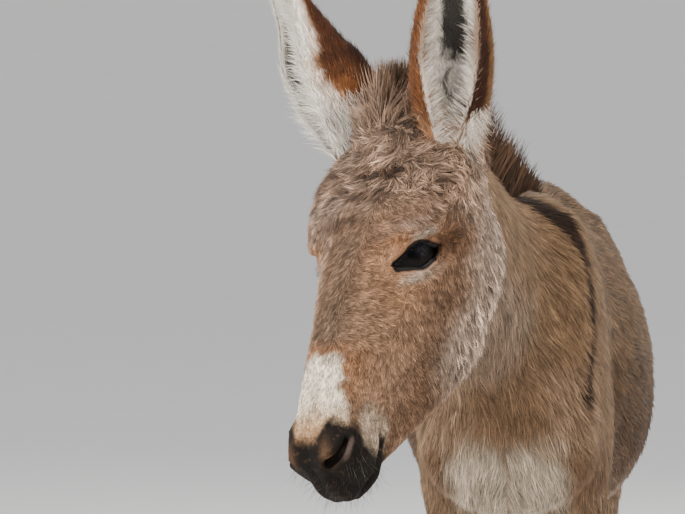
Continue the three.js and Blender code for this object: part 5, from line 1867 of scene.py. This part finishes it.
def make_lights(stage):
    world = bpy.data.worlds.new("soft room light")
    bpy.context.scene.world = world
    world.use_nodes = True
    tree = world.node_tree
    feed(tree, tree.nodes["Background"], Color=(0.90, 0.93, 1.0, 1), Strength=stage.room_light)
    lamp("key", (1.6, -2.6, 3.6), (0, -0.3, 0.8), 1.6, stage.key_power, (1.0, 0.95, 0.87))
    lamp("fill", (-3.0, -2.4, 2.0), (0, -0.3, 0.8), 2.2, stage.fill_power, (1.0, 0.97, 0.93))
    lamp("back", (0.5, 3.5, 3.0), (0, 0.2, 0.8), 2.5, 70, (1.0, 0.98, 0.95))
    lamp("right edge", (3.2, 0.4, 1.9), (0, -0.4, 0.9), 1.6, 8, (1.0, 0.95, 0.88))
    lamp("left edge", (-3.0, 0.6, 1.9), (0, -0.5, 0.9), 1.6, 25, (1.0, 0.97, 0.92))


def make_camera():
    data = bpy.data.cameras.new("camera")
    camera = bpy.data.objects.new("camera", data)
    bpy.context.scene.collection.objects.link(camera)
    turn, tilt = math.radians(6.2), math.radians(3.0)
    camera.location = (0.25598, -3.97882, 1.10336)
    look = Vector((-math.sin(turn) * math.cos(tilt), math.cos(turn) * math.cos(tilt), -math.sin(tilt)))
    camera.rotation_mode = "QUATERNION"
    camera.rotation_quaternion = look.to_track_quat("-Z", "Y")
    data.sensor_width = 36
    data.lens = 36 * 3200 / 685
    bpy.context.scene.camera = camera


def make_stage(stage):
    make_floor(stage.floor_radius)
    make_lights(stage)
    make_camera()


# ---------------- settings, operators and panel


def paint(label, rgb, about):
    return FloatVectorProperty(
        name=label, description=about, subtype="COLOR", size=3, min=0.0, max=1.0, default=tuple(linear(rgb))
    )


def number(kind, label, about, usual, least, most, **more):
    return kind(name=label, description=about, default=usual, min=least, max=most, **more)


class DonkeyColours(bpy.types.PropertyGroup):
    """Colours of the coat, the bare skin and the rims."""

    taupe: paint("Taupe", (134, 109, 88), "Grey-brown of the head where it isn't marked")
    body: paint("Body", (129, 102, 76), "Coat of the neck, trunk and thighs")
    # this paint is pale hair, and also painted light on the right side of the face and on the lit lower rim
    # of the jaw
    frost_and_light: paint("Frost", (168, 147, 131), "Pale hair along the jaw and below the eye")
    forehead: paint("Forehead", (141, 115, 96), "Forehead and crown")
    face: paint("Face", (154, 120, 94), "Side of the face below the eye")
    cheek: paint("Cheek", (134, 104, 82), "Cheek")
    rust: paint("Rust", (152, 98, 58), "Rust above the white nose and at the inner corner of the eye")
    blaze: paint("Blaze", (252, 236, 212), "White of the nose")
    blaze_low: paint("Blaze low", (203, 170, 132), "Yellower white just above the nostrils")
    mealy: paint("Mealy", (176, 155, 134), "Pale speckled patch behind the corner of the mouth")
    tan: paint("Tan", (176, 132, 96), "Tan at the foot of the ears and under the eye")
    wing: paint("Wing", (100, 84, 78), "Bare skin on the outer wing of each nostril")
    eye_brown: paint("Eye brown", (72, 46, 27), "Dark hair behind the outer corner of the eye")
    muzzle: paint("Muzzle", (20, 15, 11), "Nostrils, lips and chin")
    cream: paint("Cream", (206, 194, 178), "Belly, throat and inside of the legs")
    chest: paint("Chest", (187, 171, 151), "Pale chest between the forelegs")
    dark: paint("Dark", (50, 35, 26), "Stripe of the back, cross and mane")
    brown: paint("Brown", (112, 84, 62), "Brown shading and joints")
    ear_back: paint("Ear back", (94, 54, 30), "Back of the ears")
    ear_rim: paint("Ear rim", (58, 33, 21), "Dark middle and tip of the ears' backs")
    ear_inside: paint("Ear inside", (240, 232, 220), "Long hair inside the ears")
    leg: paint("Leg", (146, 124, 102), "Outside of the legs")
    rim: paint("Rim", (18, 14, 13), "Rims of the eyelids, lashes and the ears' dark mark")


class DonkeySizes(bpy.types.PropertyGroup):
    """Sizes and numbers of the pieces."""

    skin_step: number(
        FloatProperty, "Skin step", "Spacing of the skin's points on the muzzle", 0.002, 0.0015, 0.01,
        precision=4, unit="LENGTH")
    hair_length: number(
        FloatProperty, "Hair length", "Length of the coat's hair, as a share of the usual", 1.0, 0.3, 1.3,
        subtype="FACTOR")
    hair_width: number(
        FloatProperty, "Hair width", "Thickness of the coat's tufts, as a share of the usual", 1.0, 0.3, 2.0,
        subtype="FACTOR")
    head_tufts: number(
        IntProperty, "Tufts on the head", "Number of tufts on the head", 130000, 1000, 140000)
    body_tufts: number(
        FloatProperty, "Tufts on the body", "Tufts on the neck, trunk and legs, as a share of the usual",
        1.0, 0.1, 1.1, subtype="FACTOR")
    mane_locks: number(
        IntProperty, "Locks in the mane", "Number of locks in the mane", 5200, 200, 8000)
    tail_locks: number(
        IntProperty, "Locks in the tail", "Number of long locks in the tail", 1700, 100, 4000)
    whiskers: number(
        FloatProperty, "Whisker length", "Length of the longest whiskers", 0.021, 0.005, 0.05,
        precision=3, unit="LENGTH")
    eyeball: number(
        FloatVectorProperty, "Eyeball", "Half-sizes of the eyeball: along the opening, across it and deep",
        (0.0362, 0.0276, 0.0209), 0.01, 0.05, subtype="XYZ", unit="LENGTH", precision=4)


class DonkeyStage(bpy.types.PropertyGroup):
    """Floor and light round the donkey."""

    floor_colour: paint("Floor", (240, 238, 234), "Colour of the floor and the wall behind")
    floor_radius: number(
        FloatProperty, "Floor radius", "Radius of the level part of the floor", 14.0, 4.0, 30.0,
        unit="LENGTH")
    key_power: number(
        FloatProperty, "Key lamp", "Power of the main lamp, above and to the right", 150.0, 0.0, 1000.0,
        unit="POWER")
    fill_power: number(
        FloatProperty, "Fill lamp", "Power of the soft lamp on the left", 130.0, 0.0, 1000.0, unit="POWER")
    room_light: number(
        FloatProperty, "Room light", "Strength of the even light from all sides", 0.85, 0.0, 3.0)


def read_sizes(context):
    """Takes over the colours of the sidebar, and hands back its sizes."""
    for name in DonkeyColours.__annotations__:
        PAINT[name] = np.array(getattr(context.scene.donkey_colours, name))
    return context.scene.donkey_sizes


class DONKEY_OT_materials(bpy.types.Operator):
    """Makes the materials of the coat, skin, lids, eyes, hooves and floor"""

    bl_idname = "donkey.materials"
    bl_label = "Materials"

    def execute(self, context):
        make_materials(context.scene.donkey_stage)
        return {"FINISHED"}


class DONKEY_OT_stage(bpy.types.Operator):
    """Makes the floor, lamps and camera"""

    bl_idname = "donkey.stage"
    bl_label = "Stage"

    def execute(self, context):
        make_stage(context.scene.donkey_stage)
        return {"FINISHED"}


class DONKEY_OT_skin(bpy.types.Operator):
    """Makes the one skin of head, ears, neck, trunk, legs and tail"""

    bl_idname = "donkey.skin"
    bl_label = "Skin"

    def execute(self, context):
        sizes = read_sizes(context)
        make_skin(sizes.skin_step / SCALE)
        return {"FINISHED"}


class DONKEY_OT_eyes(bpy.types.Operator):
    """Makes the two eyeballs"""

    bl_idname = "donkey.eyes"
    bl_label = "Eyes"

    def execute(self, context):
        sizes = read_sizes(context)
        BALL[:] = np.array(sizes.eyeball) / SCALE
        make_eyes()
        return {"FINISHED"}


class DONKEY_OT_lids(bpy.types.Operator):
    """Makes the eyelids, their short hair and the lashes"""

    bl_idname = "donkey.lids"
    bl_label = "Eyelids and lashes"

    def execute(self, context):
        read_sizes(context)
        make_lids()
        make_lid_coat()
        return {"FINISHED"}


class DONKEY_OT_hooves(bpy.types.Operator):
    """Makes the four hooves"""

    bl_idname = "donkey.hooves"
    bl_label = "Hooves"

    def execute(self, context):
        read_sizes(context)
        make_hooves()
        return {"FINISHED"}


class DONKEY_OT_mane(bpy.types.Operator):
    """Makes the locks of the mane"""

    bl_idname = "donkey.mane"
    bl_label = "Mane"

    def execute(self, context):
        sizes = read_sizes(context)
        make_mane(sizes.mane_locks)
        return {"FINISHED"}


class DONKEY_OT_tail(bpy.types.Operator):
    """Makes the long locks of the tail"""

    bl_idname = "donkey.tail"
    bl_label = "Tail locks"

    def execute(self, context):
        sizes = read_sizes(context)
        make_switch(sizes.tail_locks)
        return {"FINISHED"}


class DONKEY_OT_head_coat(bpy.types.Operator):
    """Makes the tufts of the head"""

    bl_idname = "donkey.head_coat"
    bl_label = "Coat of the head"

    def execute(self, context):
        sizes = read_sizes(context)
        make_head_coat(sizes.head_tufts, sizes.hair_length, sizes.hair_width)
        return {"FINISHED"}


class DONKEY_OT_body_coat(bpy.types.Operator):
    """Makes the tufts of the neck, trunk, legs and root of the tail"""

    bl_idname = "donkey.body_coat"
    bl_label = "Coat of the body"

    def execute(self, context):
        sizes = read_sizes(context)
        make_body_coat(sizes.body_tufts, sizes.hair_length, sizes.hair_width)
        return {"FINISHED"}


class DONKEY_OT_ear_coat(bpy.types.Operator):
    """Makes the tufts on and in the ears"""

    bl_idname = "donkey.ear_coat"
    bl_label = "Coat of the ears"

    def execute(self, context):
        read_sizes(context)
        make_ear_coat()
        return {"FINISHED"}


class DONKEY_OT_whiskers(bpy.types.Operator):
    """Makes the whiskers of the lips, chin and nose"""

    bl_idname = "donkey.whiskers"
    bl_label = "Whiskers"

    def execute(self, context):
        sizes = read_sizes(context)
        make_whiskers(sizes.whiskers / SCALE)
        return {"FINISHED"}


class DONKEY_PT_sidebar(bpy.types.Panel):
    """Lists the settings and the steps that make the donkey"""

    bl_idname = "DONKEY_PT_sidebar"
    bl_label = "Donkey"
    bl_space_type = "VIEW_3D"
    bl_region_type = "UI"
    bl_category = "Donkey"

    def draw(self, context):
        layout = self.layout
        steps = layout.column(align=True)
        for step in STEPS:
            steps.operator(step.bl_idname)
        for group, settings in (
            (DonkeySizes, context.scene.donkey_sizes),
            (DonkeyStage, context.scene.donkey_stage),
            (DonkeyColours, context.scene.donkey_colours),
        ):
            rows = layout.column(align=True)
            for name in group.__annotations__:
                rows.prop(settings, name)


STEPS = (
    DONKEY_OT_materials, DONKEY_OT_stage, DONKEY_OT_skin, DONKEY_OT_eyes, DONKEY_OT_lids, DONKEY_OT_hooves,
    DONKEY_OT_mane, DONKEY_OT_tail, DONKEY_OT_head_coat, DONKEY_OT_body_coat, DONKEY_OT_ear_coat,
    DONKEY_OT_whiskers,
)
CLASSES = (DonkeyColours, DonkeySizes, DonkeyStage) + STEPS + (DONKEY_PT_sidebar,)


def register():
    for c in CLASSES:
        bpy.utils.register_class(c)
    bpy.types.Scene.donkey_colours = PointerProperty(type=DonkeyColours)
    bpy.types.Scene.donkey_sizes = PointerProperty(type=DonkeySizes)
    bpy.types.Scene.donkey_stage = PointerProperty(type=DonkeyStage)


def unregister():
    del bpy.types.Scene.donkey_stage, bpy.types.Scene.donkey_sizes, bpy.types.Scene.donkey_colours
    for c in reversed(CLASSES):
        bpy.utils.unregister_class(c)


def main():
    register()
    bpy.ops.donkey.materials()
    bpy.ops.donkey.stage()
    bpy.ops.donkey.skin()
    bpy.ops.donkey.eyes()
    bpy.ops.donkey.lids()
    bpy.ops.donkey.hooves()
    bpy.ops.donkey.mane()
    bpy.ops.donkey.tail()
    bpy.ops.donkey.head_coat()
    bpy.ops.donkey.body_coat()
    bpy.ops.donkey.ear_coat()
    bpy.ops.donkey.whiskers()


if __name__ == "__main__":
    main()
